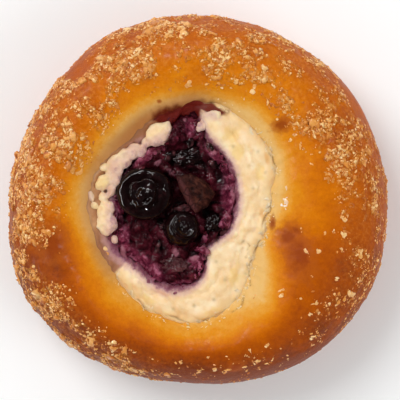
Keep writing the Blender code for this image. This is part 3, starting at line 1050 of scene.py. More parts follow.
def bake_share(point):
    """How far the dough here has browned, from cream at 0 to brown at 1, and painted shade low down."""
    angle = math.atan2(point.y, point.x)
    share = out_share(point)
    pale = around(angle, PALE_ENDS)
    gold = around(angle, GOLD_FROM)
    if share <= pale:
        return PALE_BAKE * share / pale
    if share <= gold:
        return PALE_BAKE + (GOLD_BAKE - PALE_BAKE) * (share - pale) / (gold - pale)
    far = min(1.0, (share - gold) / (1.0 - gold))
    baked = GOLD_BAKE + (RIM_BAKE - GOLD_BAKE) * far**0.6
    low = step_between(WIDEST_Z - point.z, 2.0, 12.0)
    # The table adds real browning and painted shade on the lower side.
    return baked + around(angle, BROWNED_AND_SHADED) * step_between(far, 0.0, 0.4) - FOOT_PALER * low


def damp_and_shade_share(point):
    """How dark the dough of the well's wall is painted, from 0 to 1: damp dough and painted shade."""
    if point.z < TOP_Z:
        return 0.0
    angle = math.atan2(point.y - WELL_MIDDLE.y, point.x - WELL_MIDDLE.x)
    return around(angle, DAMP_AND_SHADE) * (1.0 - step_between(well_gap(point), 0.0, DAMP_AND_SHADE_WIDTH))


def bare_wall_share(point):
    """1 on the dough right beside the well where only lumps of cheese lie, fading outwards."""
    if point.z < TOP_Z or math.hypot(point.x, point.y) > WELL_REACH:
        return 0.0
    return bare_share(point) * (1.0 - step_between(well_gap(point), 0.2, 3.6))


def crust_height(point, normal):
    """The crust's own relief: fine skin, dents, and a rough ground where crumbs have melted in."""
    if point.z < 0.4 or normal.z < -0.97:
        return 0.0
    inner = math.hypot(point.x, point.y) < WELL_REACH
    if inner and (point.z < COVERED_Z or well_gap(point) < 0.1):
        return 0.0
    fade = step_between(point.z, 0.4, 6.0)
    skin = 0.12 * noise.noise(point / 2.6) + 0.06 * noise.noise(point / 1.2)
    cover = crumb_cover(point)
    ground = 0.0
    if cover > 0.02:
        thick = cover * clump_share(point)
        ground = thick * (0.6 * lump_height(point, 1.7) - 0.1 + 0.25 * noise.noise(point / 0.9))
    dents = sum(oval_share(point, *place[:4]) * place[4] for place in SMOOTH_DENTS)
    return (skin + ground - dents) * fade - CRACK_DEPTH * crack_share(point)


def make_crust(finish):
    """The bun: a closed turned body with the well in its top and a flat underside."""

    def shape(spoke, r, z, out):
        share = step_between(r, WELL_R, CREST_R) * step_between(z, 2.0, 10.0)
        swell = noise.noise(spoke.turned(r, z) / CRUST_SPAN) * CRUST_SWELL * share
        on_foot = z < WIDEST_Z and (r > WELL_R + 0.01 or z < WELL_FLOOR_Z / 2.0)
        return spoke.placed(r + out.x * swell, z + out.y * swell, on_foot)

    piece = turned_piece("bun_crust", bun_line(), CRUST_COLUMNS, shape, finish)
    raise_relief(piece, crust_height)
    tell(piece, "bake", bake_share)
    tell(piece, "cover", crumb_cover)
    tell(piece, "clump", lambda point: crumb_cover(point) * clump_share(point))
    tell(piece, "scorch", on_top(SCORCHES))
    tell(piece, "tan", on_top(TANNED))
    tell(piece, "stain", lambda point: stain_share(point, STAIN_ON_CRUST))
    tell(piece, "crack", crack_share)
    tell(piece, "damp_and_shade", damp_and_shade_share)
    tell(piece, "bare", bare_wall_share)
    tell(piece, "foot", lambda point: 1.0 - step_between(point.z, 0.3, 2.2))
    return piece


# The crumbs and the glaze


# Places on the crust are found from a ring inside the dough, between these angles from level
CORE_R = 37.0
CORE_Z = 16.0
LOWEST_DEG = -32.0
HIGHEST_DEG = 124.0


def crust_place(tree, draw):
    """A random place on the crust and its normal."""
    point = None
    while point is None:
        angle = draw.uniform(-math.pi, math.pi)
        rise = math.radians(draw.uniform(LOWEST_DEG, HIGHEST_DEG))
        out = Vector((math.cos(angle), math.sin(angle), 0.0))
        core = out * CORE_R + Vector((0.0, 0.0, CORE_Z))
        way = out * math.cos(rise) + Vector((0.0, 0.0, math.sin(rise)))
        point, normal, _, _ = tree.ray_cast(core * MM, way)
    return point / MM, normal


def scatter(name, tree, finish, count, radii, fineness, uneven, sunk, bare):
    """Crumbs strewn over the crust as thickly as the cover says, in clumps."""
    draw = random.Random(SEEDS[name])
    heap = Heap()
    smallest, largest = radii
    laid = 0
    while laid < count:
        point, normal = crust_place(tree, draw)
        cover = crumb_cover(point)
        if draw.random() > cover:
            continue
        if clumped(point) < bare + 0.35 * (1.0 - cover):
            continue
        radius = smallest + (largest - smallest) * draw.random() ** 2.2
        tone = draw.triangular(0.05, 1.0, 0.4)
        add_grain(heap, draw, point, normal, radius, fineness, uneven, sunk, tone)
        laid += 1
    return heap.piece(name, finish)


def make_crumbs(tree):
    """The crumbs strewn over the crust: clumps, fine grains and pale flecks that are partly painted
    glints.
    """
    tan = crumb_finish("tan_crumbs", paint(255, 216, 150), paint(230, 154, 68), paint(176, 84, 8))
    fine = crumb_finish("fine_crumbs", paint(255, 214, 146), paint(224, 142, 54), paint(172, 78, 4))
    # The flecks are pale sugar and partly painted glints.
    pale_and_glinting = crumb_finish(
        "pale_glinting_crumbs", paint(255, 230, 182), paint(246, 192, 120), paint(206, 120, 36)
    )
    kinds = (
        # name, finish, count, radii, fineness, uneven, sunk, bare
        ("crumb_clumps", tan, 2200, (0.5, 1.3), 2, 0.9, 0.55, 0.5),
        ("crumb_grains", fine, 8500, (0.2, 0.55), 1, 0.6, 0.35, 0.24),
        ("crumb_flecks", pale_and_glinting, 2600, (0.18, 0.5), 1, 0.7, 0.1, 0.45),
    )
    return [scatter(name, tree, *rest) for name, *rest in kinds]


# Crumbs that lie alone on the smooth dough: place and radius, and how many grains each has
STRAY_GRAINS = 4
STRAY_CRUMBS = (
    ((-2.8, 29.5), 1.2),
    ((14.3, 28.7), 1.0),
    ((23.9, 15.6), 0.6),
    ((25.2, 16.4), 0.5),
    ((37.7, -4.9), 0.9),
    ((26.9, -8.7), 0.8),
    ((32.9, -8.7), 0.6),
    ((35.1, -8.7), 0.5),
    ((31.3, -13.7), 0.7),
    ((28.7, -14.3), 1.0),
    ((37.2, -13.2), 0.6),
    ((29.2, -20.4), 0.6),
    ((21.7, -24.7), 0.8),
    ((29.2, -30.3), 0.6),
    ((31.4, -30.0), 0.4),
    ((30.8, -35.6), 1.2),
    ((17.7, -38.3), 0.7),
    ((12.4, -41.5), 0.7),
    ((13.6, -39.8), 0.7),
    ((3.9, -44.9), 0.7),
    ((2.6, -41.3), 0.5),
    ((23.3, -41.2), 0.5),
    ((35.9, -20.9), 0.6),
    ((34.0, -27.3), 0.6),
    ((26.3, -26.3), 0.5),
    ((30.0, -38.5), 0.5),
    ((12.1, -44.7), 0.7),
    ((14.6, -25.6), 0.5),
    ((40.0, -25.0), 1.0),
    ((-24.8, -14.0), 0.9),
    ((-38.6, -29.4), 0.6),
    ((34.6, 12.4), 0.7),
    ((38.4, 6.4), 0.8),
    ((29.4, 8.8), 0.5),
)


def make_strays(trees, finish):
    """The lone crumbs on the smooth dough, each a few grains stuck together."""
    draw = random.Random(SEEDS["crumb_strays"])
    heap = Heap()
    for (x, y), radius in STRAY_CRUMBS:
        for _ in range(STRAY_GRAINS):
            off_x = draw.gauss(0.0, 0.5) * radius
            off_y = draw.gauss(0.0, 0.5) * radius
            point, normal = top_place(trees, x + off_x, y + off_y)
            size = radius * draw.uniform(0.65, 1.05)
            tone = draw.uniform(0.35, 0.9)
            add_grain(heap, draw, point, normal, size, 2, uneven=0.4, sunk=0.55, tone=tone)
    return heap.piece("crumb_strays", finish)


# Drops of sugar glaze beside the cheese: place and radius, how many grains melt into each, and
# how finely their skin is made
DROP_GRAINS = 4
DROP_VOXEL = 0.16
GLAZE_DROPS = (
    ((23.0, 1.9), 0.8),
    ((23.7, 0.9), 0.9),
    ((22.9, 0.0), 0.9),
    ((23.6, -0.7), 1.0),
    ((22.9, -1.6), 1.0),
    ((22.2, -2.5), 0.7),
    ((21.0, -3.4), 0.5),
    ((22.3, 2.9), 0.5),
    ((23.1, 15.4), 0.5),
)


def make_glaze_drops(trees, finish):
    """Drops of glaze that have run together and set."""
    draw = random.Random(SEEDS["glaze_drops"])
    heap = Heap()
    for (x, y), radius in GLAZE_DROPS:
        for _ in range(DROP_GRAINS):
            off_x = draw.gauss(0.0, 0.5)
            off_y = draw.gauss(0.0, 0.6)
            point, normal = top_place(trees, x + off_x, y + off_y)
            size = radius * draw.uniform(0.8, 1.3)
            add_grain(heap, draw, point, normal, size, 3, uneven=0.4, sunk=0.7, tone=1.0)
    corners, faces = fused(heap, DROP_VOXEL)
    piece = made_piece("glaze_drops", corners, faces, finish)
    tell(piece, "tone", lambda point: 0.6 + 0.8 * noise.noise(point / 0.9))
    return piece


# The cheese


def cheese_line():
    """The dish, the swollen ring round it, and the well's line back to the centre."""
    dish = bowl_line(DISH_FLOOR_R, DISH_FLOOR_Z, DISH_R, DISH_EDGE_Z, DISH_APART)
    inner_half = (CHEESE_TOP_R - DISH_R, CHEESE_TOP_Z - DISH_EDGE_Z)
    inner = quarter((CHEESE_TOP_R, DISH_EDGE_Z), inner_half, 180, 90, RING_STEPS)
    outer_half = (WELL_R - CHEESE_TOP_R, CHEESE_TOP_Z - WELL_EDGE_Z)
    outer = quarter((CHEESE_TOP_R, WELL_EDGE_Z), outer_half, 90, 8, RING_STEPS)
    tuck = [(WELL_R + 0.7, WELL_EDGE_Z + 0.2), (WELL_R + 0.9, WELL_EDGE_Z - 0.8)]
    well = bowl_line(WELL_FLOOR_R, WELL_FLOOR_Z, WELL_R, WELL_EDGE_Z, WELL_APART)
    ring = evenly(inner, RING_APART)[1:] + evenly(outer, RING_APART)[1:]
    return dish + ring + tuck + well[-2::-1]


# Where the cheese is yellow with butter and where it is toasted
BUTTERY = (
    ((9.6, -20.6), 2.0, 3.6, -20.0),
    ((-13.0, -26.4), 2.6, 1.0, -30.0),
    ((8.6, 16.2), 3.4, 2.6, 60.0),
    ((10.6, 12.4), 2.6, 3.6, 0.0),
    ((3.8, -29.6), 2.6, 1.2, 20.0),
    ((16.0, 7.0), 1.6, 3.0, 10.0),
)
TOASTED = (
    ((18.0, 10.4), 0.9, 2.2, 15.0),
    ((8.2, -29.8), 1.2, 1.0, 0.0),
    ((16.8, -4.0), 1.2, 2.4, 20.0),
)

# Small pits in the cheese: their places, how widely each fades and how deep it is
PIT_SPREAD = 0.22
PIT_DEPTH = 0.2
PITS = (
    (9.1, 13.6),
    (14.4, 2.6),
    (17.5, 6.7),
    (11.8, -11.3),
    (4.6, -16.6),
    (-6.6, -29.0),
    (4.0, -26.6),
    (12.4, -19.8),
    (7.0, -21.4),
    (10.4, 6.2),
    (-1.2, -28.2),
    (15.6, 12.2),
)


def pit_share(point):
    """1 in the middle of a small pit in the cheese."""
    gap = min((point.x - x) ** 2 + (point.y - y) ** 2 for x, y in PITS)
    return math.exp(-(gap / PIT_SPREAD))


# How far the juice has run into the cheese, how much farther on the left and at the bottom, and
# the lump at the top that it has dyed
JUICE_RUN = 3.6
JUICE_LEFT = 1.8
JUICE_LOW = 1.0
DYED_LUMP = ((3.0, 22.0), 3.6, 1.7, -12.0)


def juice_share(point):
    """1 at the compote's edge, and less where its juice has spread into the cheese."""
    left = step_between(-point.x, 2.0, 10.0) * step_between(point.y, -20.0, -12.0)
    low = step_between(-point.x, -2.0, 6.0) * step_between(-point.y, 14.0, 20.0)
    reach = JUICE_RUN + JUICE_LEFT * left + JUICE_LOW * low
    run = 1.0 - step_between(past_mash(point), 0.2, reach)
    return max(run, 0.62 * oval_share(point, *DYED_LUMP))


# Soft creases where the cheese has slumped, as points in plan, with their half width and depth
FOLDS = (
    ((6.0, 22.0), (9.4, 17.0), (12.0, 12.6), (13.4, 8.6)),
    ((14.6, 12.0), (16.2, 7.0), (16.0, 2.6)),
    ((12.6, -2.0), (12.2, -6.0), (9.6, -9.8), (6.4, -12.6)),
    ((15.2, -4.6), (13.6, -9.4), (10.2, -13.6), (9.0, -18.6)),
    ((11.4, -14.0), (11.6, -18.4), (9.4, -23.6)),
    ((6.4, -19.0), (2.4, -24.0), (-3.4, -26.6)),
    ((-8.0, -26.4), (-12.6, -24.6), (-16.4, -21.0)),
)
FOLD_WIDTH = 0.8
FOLD_DEPTH = 0.6


def fold_share(point):
    """1 in the bottom of a soft crease in the cheese, and 0 away from it."""
    wander = noise.noise_vector(Vector((point.x, point.y, 0.0)) / 3.6) * 1.4
    there = point + wander
    width = FOLD_WIDTH * (1.0 + 0.7 * noise.noise(point / 2.4))
    return max(math.exp(-((gap_to(there, line) / width) ** 2)) for line in FOLDS)


# The neck of the filling, at the top of the well, lies above this height and this line in plan
NECK_FROM_Z = 22.0
NECK_FROM_Y = 14.0


def neck_share(point):
    """1 where juice has soaked the cheese in the neck, and 0 away from it."""
    if point.z < NECK_FROM_Z or point.y < NECK_FROM_Y:
        return 0.0
    left = step_between(point.x, -12.0, -7.0)
    return left * bare_share(point) * (1.0 - step_between(gap_to(point, STAIN), 2.2, 4.4))


def wall_shade_share(point):
    """1 on the bare wall's two ends, which are painted darker than its middle as shade."""
    return max(step_between(-point.y, 5.0, 12.0), step_between(point.y, 8.0, 15.0))


def cheese_seam(point):
    """1 where the cheese meets the dough, fading inwards."""
    return step_between(well_gap(point), -5.0, 0.0) if point.z > COVERED_Z else 0.0


def make_cheese(finish):
    """The ring of curd cheese: smooth swells on the wide side, lumps on the narrow side."""

    def shape(spoke, r, z, out):
        place = spoke.placed(r, z)
        ring = DISH_R + 0.01 < r < WELL_R - 0.01 and z > DISH_EDGE_Z
        if ring:
            share = step_between(WELL_R - r, 0.0, RELIEF_FADE)
            share *= step_between(r - DISH_R, 0.0, RELIEF_FADE)
            lumps = (lump_height(spoke.turned(r, z), CURD_SPAN) - 0.5) * CURD_HEIGHT
            calm = 0.5 + 0.5 * step_between(-place.x, -4.0, 12.0)
            bare = bare_share(place)
            rise = ((r - DISH_R) / (WELL_R - DISH_R)) ** 1.8
            wall = (DISH_EDGE_Z + BARE_RISE * rise) * lean(place.x, place.y)
            place.z = (place.z + lumps * calm * share) * (1.0 - bare) + wall * bare
        return place

    def height(point, normal):
        if normal.z < 0.0 or point.z < DISH_EDGE_Z - 1.0:
            return 0.0
        edge = step_between(-well_gap(point), 0.1, 1.0)
        soft = 0.5 * noise.noise(point / 4.6) + 0.16 * noise.noise(point / 1.5)
        soft += 0.35 * (lump_height(point, 2.8) - 0.5) - FOLD_DEPTH * fold_share(point)
        return (soft - PIT_DEPTH * pit_share(point)) * edge - CRACK_DEPTH * crack_share(point)

    piece = turned_piece("cheese_ring", cheese_line(), CHEESE_COLUMNS, shape, finish)
    raise_relief(piece, height)
    tell(piece, "juice", juice_share)
    tell(piece, "seam", cheese_seam)
    tell(piece, "bare", bare_share)
    tell(piece, "wall_shade", wall_shade_share)
    tell(piece, "stain", lambda point: max(stain_share(point), neck_share(point)))
    tell(piece, "butter", lambda point: ovals(point, BUTTERY))
    tell(piece, "toast", lambda point: ovals(point, TOASTED))
    tell(piece, "pit", pit_share)
    tell(piece, "crack", crack_share)
    return piece


# Curds of cheese that lie at the compote's edge: middle, half sizes, way, and knobs on each, and
# how finely the skin round them is made
CURDS = (
    ((-10.0, 17.4, 26.5), (4.3, 3.0, 2.0), 38.0, 5),
    ((-13.6, 14.8, 26.0), (1.9, 1.3, 1.1), 40.0, 3),
    ((-17.6, 11.9, 26.2), (3.3, 2.2, 1.6), 42.0, 5),
    ((-15.2, 12.0, 25.8), (2.2, 1.5, 1.2), 30.0, 3),
    ((-19.8, 9.8, 26.1), (2.3, 1.9, 1.4), 60.0, 5),
    ((-22.2, 8.4, 26.3), (3.3, 2.5, 1.7), 72.0, 6),
    ((-22.5, 10.0, 26.8), (1.9, 1.3, 1.3), 50.0, 4),
    ((-19.9, 11.8, 26.8), (1.7, 1.1, 1.1), 40.0, 3),
    ((-25.0, 8.2, 27.2), (1.3, 1.0, 0.9), 70.0, 2),
    ((-21.6, 5.4, 26.0), (2.6, 1.9, 1.4), 80.0, 5),
    ((-25.4, 4.2, 26.7), (2.6, 1.8, 1.6), 66.0, 3),
    ((-22.7, 2.4, 26.0), (2.0, 1.4, 1.2), 80.0, 4),
    ((-28.3, 0.8, 26.6), (1.9, 1.0, 1.1), 100.0, 3),
    ((-27.4, -1.8, 26.5), (1.2, 1.0, 0.9), 0.0, 3),
    ((-24.8, 0.4, 26.1), (1.7, 1.3, 1.0), 20.0, 3),
    ((-24.3, -2.8, 26.4), (2.7, 2.3, 1.7), 80.0, 5),
    ((-23.9, -6.6, 26.3), (3.3, 3.0, 1.9), 60.0, 6),
    ((-22.0, -10.6, 25.8), (1.4, 1.0, 0.9), 100.0, 3),
    ((0.8, 18.9, 26.4), (2.1, 1.6, 1.3), 70.0, 3),
    ((3.4, 21.6, 26.5), (2.8, 1.8, 1.4), -12.0, 3),
)
CURD_VOXEL = 0.27

# Where the curds are dyed lilac, and the one that is yellow with butter
LILAC_CURDS = (
    ((-16.8, 12.4), 4.6, 3.2, 40.0),
    ((-6.8, 19.0), 1.8, 2.4, 0.0),
    ((-21.6, 7.6), 2.6, 3.8, 0.0),
    ((-23.4, 1.6), 2.4, 2.6, 0.0),
    ((-28.6, 0.6), 1.4, 2.6, 0.0),
    ((0.8, 19.4), 2.0, 2.0, 0.0),
    ((2.8, 22.2), 2.4, 1.4, 0.0),
    ((-22.0, -9.4), 1.2, 2.6, 0.0),
)
BUTTERY_CURD = ((-25.6, 4.2), 2.4, 2.4, 0.0)


def curd_lobes(draw, middle, shape, knobs):
    """The middle and size of a curd's body and of the knobs on it."""
    lobes = [(middle, 0.86)]
    for _ in range(knobs):
        way = Vector((draw.gauss(0.0, 1.0), draw.gauss(0.0, 1.0), draw.gauss(0.2, 0.6)))
        place = middle + shape @ way.normalized() * draw.uniform(0.35, 0.6)
        lobes.append((place, draw.uniform(0.4, 0.62)))
    return lobes


def make_curds(finish):
    """Crumbly lumps of cheese, grown together where they touch."""
    draw = random.Random(SEEDS["cheese_curds"])
    heap = Heap()
    corners, faces = ball(3)
    for middle, half, way_deg, knobs in CURDS:
        shape = turned_along(way_deg, Matrix.Diagonal(half))
        for k, (place, size) in enumerate(curd_lobes(draw, Vector(middle), shape, knobs)):
            shift = Vector((draw.uniform(-9.0, 9.0), draw.uniform(-9.0, 9.0), k))
            placed = []
            for way in corners:
                reach = size * (1.0 + 0.4 * noise.noise(way * 1.5 + shift))
                placed.append(place + shape @ way * reach)
            heap.add(placed, faces, [0.0] * len(corners))

    def height(point, normal):
        return 0.3 * noise.noise(point / 1.7) + 0.08 * noise.noise(point / 0.7)

    def juice(point):
        return max(0.65 * ovals(point, LILAC_CURDS), juice_share(point) - 0.25)

    skin_corners, skin_faces = fused(heap, CURD_VOXEL)
    piece = made_piece("cheese_curds", skin_corners, skin_faces, finish)
    raise_relief(piece, height)
    tell(piece, "juice", juice)
    tell(piece, "butter", lambda point: oval_share(point, *BUTTERY_CURD))
    return piece


# How many crumbs of cheese lie along the dough's edge
SEAM_CRUMBS = 420


def make_seam_crumbs(trees, finish):
    """Small crumbs of cheese that have stuck along the dough's edge."""
    draw = random.Random(SEEDS["cheese_crumbs"])
    heap = Heap()
    laid = 0
    while laid < SEAM_CRUMBS:
        angle = draw.uniform(-math.pi, math.pi)
        reach = edge_reach(angle, WELL_MIDDLE, WELL_EDGE) + draw.triangular(-1.2, 1.9, 0.1)
        x = WELL_MIDDLE.x + math.cos(angle) * reach
        y = WELL_MIDDLE.y + math.sin(angle) * reach
        if bare_share(Vector((x, y))) > 0.3 or clumped(Vector((x, y, 9.0))) < 0.42:
            continue
        point, normal = top_place(trees, x, y)
        size = draw.uniform(0.3, 1.0)
        add_grain(heap, draw, point, normal, size, 2, uneven=0.8, sunk=0.7, tone=draw.random())
        laid += 1
    piece = heap.piece("cheese_crumbs", finish)
    tell(piece, "seam", lambda point: step_between(well_gap(point), -2.0, 1.0))
    return piece


# The compote


def compote_line():
    """The mashed top with its rounded edge, and the dish's line back to the centre."""
    top = evenly([(0.0, COMPOTE_TOP_Z), (COMPOTE_TOP_R, COMPOTE_TOP_Z)], MASH_APART)
    shoulder = evenly([(COMPOTE_TOP_R, COMPOTE_TOP_Z), (DISH_R, DISH_EDGE_Z)], MASH_APART)
    dish = bowl_line(DISH_FLOOR_R, DISH_FLOOR_Z, DISH_R, DISH_EDGE_Z, DISH_APART)
    return top + shoulder[1:] + dish[-2::-1]


# Where the compote is purple, where cheese has been stirred into it, and where it has sunk into
# gaps between the berries, which are painted near black as shade
PURPLE = (
    ((7.8, 2.0), 2.4, 9.0, 0.0),
    ((-13.4, -18.0), 8.0, 2.4, -42.0),
    ((-4.4, -23.0), 5.0, 1.8, 8.0),
    ((-2.2, 18.6), 2.6, 1.6, 90.0),
    ((-19.6, -10.6), 4.0, 1.8, 80.0),
    ((-0.4, -16.4), 3.0, 1.8, 20.0),
    ((3.6, 13.0), 4.0, 1.8, -60.0),
    ((-14.6, 10.8), 4.0, 1.4, 40.0),
)
MILKY = (
    ((-7.4, 7.0), 2.2, 0.9, -40.0),
    ((-10.8, 9.3), 1.4, 0.7, 40.0),
    ((-0.8, -15.6), 1.7, 0.9, 20.0),
    ((-5.9, -14.0), 1.0, 1.4, 20.0),
    ((9.2, 1.4), 0.7, 2.2, 0.0),
    ((4.0, 12.4), 0.8, 1.6, 30.0),
    ((-19.8, -14.2), 1.0, 2.8, 10.0),
    ((-16.6, -18.6), 2.6, 0.9, -30.0),
    ((-8.2, -23.2), 2.2, 0.8, 0.0),
    ((1.2, -12.2), 0.6, 1.2, 60.0),
    ((-3.4, 20.6), 0.6, 1.0, 60.0),
)
SHADED_GAPS = (
    ((-4.6, -1.9), 3.2, 2.4, -50.0),
    ((2.4, -4.4), 3.4, 2.0, -50.0),
    ((-9.6, -6.6), 2.6, 1.2, -50.0),
    ((-9.0, 6.2), 3.6, 1.2, -40.0),
    ((-19.2, 7.6), 2.8, 1.0, 50.0),
    ((0.6, -10.6), 2.4, 0.9, -60.0),
    ((-9.8, -13.0), 1.2, 2.6, 10.0),
    ((5.6, 5.4), 1.3, 3.4, 20.0),
    ((-5.6, 9.6), 3.0, 1.6, 20.0),
    ((-2.0, 7.6), 3.4, 0.8, -10.0),
    ((-19.6, -4.8), 1.2, 2.4, -30.0),
    ((5.6, -10.2), 2.0, 1.4, 60.0),
)
GAP_DEPTH = 1.8

# How high the mash swells up against the cheese, and where it lies flat instead
MASH_SWELL = 1.3
FLAT_MASH = (
    ((-20.0, 1.6), 4.0, 7.0, 0.0),
    ((-17.6, -16.6), 7.0, 4.0, -40.0),
    ((-4.0, -23.6), 8.0, 3.0, 0.0),
)


def make_compote(finish):
    """The mash of cooked berries, lumpy and wet, which swells up against the cheese."""

    def shape(spoke, r, z, out):
        place = spoke.placed(r, z)
        if z > DISH_EDGE_Z + 0.01:
            share = step_between(DISH_R - r, 0.0, RELIEF_FADE)
            place.z += (lump_height(spoke.turned(r, z), MASH_SPAN) - 0.5) * MASH_HEIGHT * share
            swell = MASH_SWELL * (1.0 - ovals(place, FLAT_MASH))
            place.z += swell * step_between(r, 14.0, 18.2) * step_between(DISH_R - r, 0.0, 0.7)
        return place

    def height(point, normal):
        if point.z < DISH_EDGE_Z - 1.5 or normal.z < 0.0:
            return 0.0
        shreds = 0.7 * (lump_height(point, 3.4) - 0.4) + 0.4 * noise.noise(point / 1.5)
        smooth = 1.0 - 0.6 * min(1.0, ovals(point, PURPLE))
        raised = 0.5 * ovals(point, MILKY)
        sunk = GAP_DEPTH * ovals(point, SHADED_GAPS)
        return shreds * smooth + 0.6 * noise.noise(point / 3.4) + raised - sunk

    piece = turned_piece("compote_mash", compote_line(), COMPOTE_COLUMNS, shape, finish)
    raise_relief(piece, height)
    tell(piece, "purple", lambda point: ovals(point, PURPLE))
    tell(piece, "milky", lambda point: ovals(point, MILKY))
    tell(piece, "low", lambda point: ovals(point, SHADED_GAPS))
    return piece


# The berries


# Berries, with the solids' sizes. Each is a ball with a wrinkled skin that is stretched along one
# way in plan, flattened to a share of its height, and tipped. A crown stands this many degrees
# off the middle of its top, and is 0 where the berry has none.
Berry = namedtuple(
    "Berry", "middle radius stretch stretch_deg height crown_deg tip_deg tip_way wrinkle"
)
BERRY_LARGE = Berry(Vector((-13.9, 1.2, 24.2)), 7.0, 1.03, 0, 0.84, 44, 10, 150, 0.05)
BERRY_SMALL = Berry(Vector((-4.4, -8.0, 24.4)), 4.9, 1.0, 0, 0.88, 29, 14, 40, 0.05)
BERRY_SPLIT = Berry(Vector((3.9, -7.0, 24.8)), 2.6, 1.1, 60, 0.8, 0, 0, 0, 0.16)
BERRY_UPPER = Berry(Vector((-1.6, 11.2, 24.6)), 3.5, 1.4, 10, 0.75, 0, 0, 0, 0.22)
BERRY_LOWER = Berry(Vector((-5.4, -18.2, 24.6)), 3.4, 1.35, 170, 0.7, 0, 0, 0, 0.18)
CROWN_RISE = 0.05
CROWN_WIDTH = 0.3
DIMPLE_DEPTH = 0.12
DIMPLE_WIDTH = 0.62
WRINKLES = 2.2


def make_berry(name, berry, fineness, relief, finish, thin):
    """A berry with the solid's form and finer relief. relief(way, off_deg) adds to its reach."""
    corners, faces = ball(fineness)
    tip = turned_along(berry.tip_way, Matrix.Rotation(math.radians(berry.tip_deg), 3, "Y"))
    stretched = Matrix.Diagonal((berry.stretch, 1.0 / berry.stretch, berry.height))
    shape = turned_along(berry.stretch_deg, stretched) @ tip
    placed = []
    for way in corners:
        off_deg = math.degrees(math.acos(max(-1.0, min(1.0, way.z))))
        reach = 1.0 + berry.wrinkle * noise.noise(way * WRINKLES + berry.middle)
        if berry.crown_deg:
            rings_out = off_deg / berry.crown_deg
            reach += CROWN_RISE * ridge(rings_out, 1.0, CROWN_WIDTH)
            reach -= DIMPLE_DEPTH * ridge(rings_out, 0.0, DIMPLE_WIDTH)
        reach += relief(way, off_deg)
        placed.append(berry.middle + shape @ way * (reach * berry.radius))
    return made_piece(name, placed, faces, finish, {"thin": [thin] * len(placed)})


def large_relief(way, off_deg):
    """A collapsed berry: a thick outer fold, a groove, and a broken ring round a sunken middle."""
    bent = off_deg + 8.0 * noise.noise(way * 1.5) + 2.0 * noise.noise(way * 4.0)
    aside = bent - 6.0 * (way.x - way.y) + 5.0 * noise.noise(way * 2.6 + Vector((0.0, 7.0, 2.0)))
    broken = 0.6 + 1.1 * noise.noise(way * 2.2 + Vector((3.0, 1.0, 0.0)))
    fold = 0.12 * ridge(bent, 61.0, 14.0) - 0.2 * ridge(aside, 38.0, 6.0) * min(1.0, broken + 0.2)
    ring = (0.08 * ridge(aside, 29.0, 4.5) - 0.07 * ridge(aside, 20.0, 5.0)) * broken
    inside = 1.0 - step_between(bent, 32.0, 42.0)
    middle = 0.16 * noise.noise(way * 3.4 + Vector((0.0, 2.0, 5.0))) * inside
    creases = 0.02 * noise.noise(Vector((way.x * 3.0, way.y * 3.0, way.z * 2.0)))
    return fold + ring + middle + creases


def small_relief(way, off_deg):
    """A berry with a sharp ring round the end where the flower was."""
    bent = off_deg + 4.0 * noise.noise(way * 2.4 + Vector((4.0, 0.0, 0.0)))
    ring = 0.09 * ridge(bent, 30.0, 3.8) - 0.08 * ridge(bent, 19.0, 6.0)
    groove = -0.05 * ridge(bent, 41.0, 4.5)
    middle = 0.07 * noise.noise(way * 6.0) * (1.0 - step_between(bent, 20.0, 30.0))
    return ring + groove + middle + 0.03 * noise.noise(way * 3.0)


def crushed_relief(way, off_deg):
    """Skin that has burst and folded over itself."""
    folds = 1.0 - abs(2.0 * noise.noise(way * 2.4 + Vector((1.0, 5.0, 2.0))))
    return 0.2 * (folds - 0.6) + 0.12 * noise.noise(way * 4.0) + 0.02 * noise.noise(way * 10.0)


def torn_relief(way, off_deg):
    """A berry that has burst on one side, with deep folds that catch the light."""
    there = way * 2.0 + Vector((4.0, 1.0, 6.0))
    folds = 1.0 - abs(2.2 * noise.noise(there + noise.noise_vector(way * 1.6) * 0.6))
    return 0.34 * (folds - 0.7) + 0.1 * noise.noise(way * 5.0)


def make_berries(finish):
    """Each berry's skin, with the node that it stands for."""
    berries = (
        # node, berry, fineness, relief, how thin and pale the skin is
        ("berry_large", BERRY_LARGE, 6, large_relief, 0.0),
        ("berry_small", BERRY_SMALL, 6, small_relief, 0.0),
        ("berry_split", BERRY_SPLIT, 5, torn_relief, 0.15),
        ("berry_upper", BERRY_UPPER, 5, crushed_relief, 0.3),
        ("berry_lower", BERRY_LOWER, 5, torn_relief, 0.6),
    )
    made = []
    for node, berry, fineness, relief, thin in berries:
        piece = make_berry(node + "_skin", berry, fineness, relief, finish, thin)
        made.append((piece, "berry_skin", node))
    return made


# The dried skin: its corners in plan, its height, thickness and slope, the hole in it, and the
# edge that has curled up, with its half width
DRIED_MIDDLE = Vector((-1.1, 1.6))
DRIED_EDGE = (
    (-5.9, 5.9),
    (-2.0, 6.6),
    (1.9, 4.6),
    (4.5, 1.3),
    (2.3, -2.3),
    (-0.8, -3.8),
    (-2.9, -1.4),
    (-5.0, 2.6),
)
DRIED_TOP = 26.9
DRIED_THICK = 1.5
DRIED_SLOPE = -0.06
DRIED_HOLE = Vector((-1.7, 2.5))
DRIED_HOLE_WIDTH = 0.6
DRIED_FLAP = ((-5.4, 5.0), (-3.6, 2.4), (-2.6, -0.6), (-0.9, -3.2))
DRIED_FLAP_WIDTH = 0.8


def straight_reach(way, middle, edge):
    """How far the straight-sided closed edge lies from its middle this way."""
    reach = 0.0
    for start, end in zip(edge, edge[1:] + edge[:1]):
        a = Vector(start) - middle
        side = Vector(end) - Vector(start)
        turn = way.x * side.y - way.y * side.x
        if abs(turn) < 1e-9:
            continue
        along = (a.x * side.y - a.y * side.x) / turn
        share = (a.x * way.y - a.y * way.x) / turn
        if along > 0.0 and -1e-6 <= share <= 1.0 + 1e-6:
            reach = max(reach, along)
    return reach


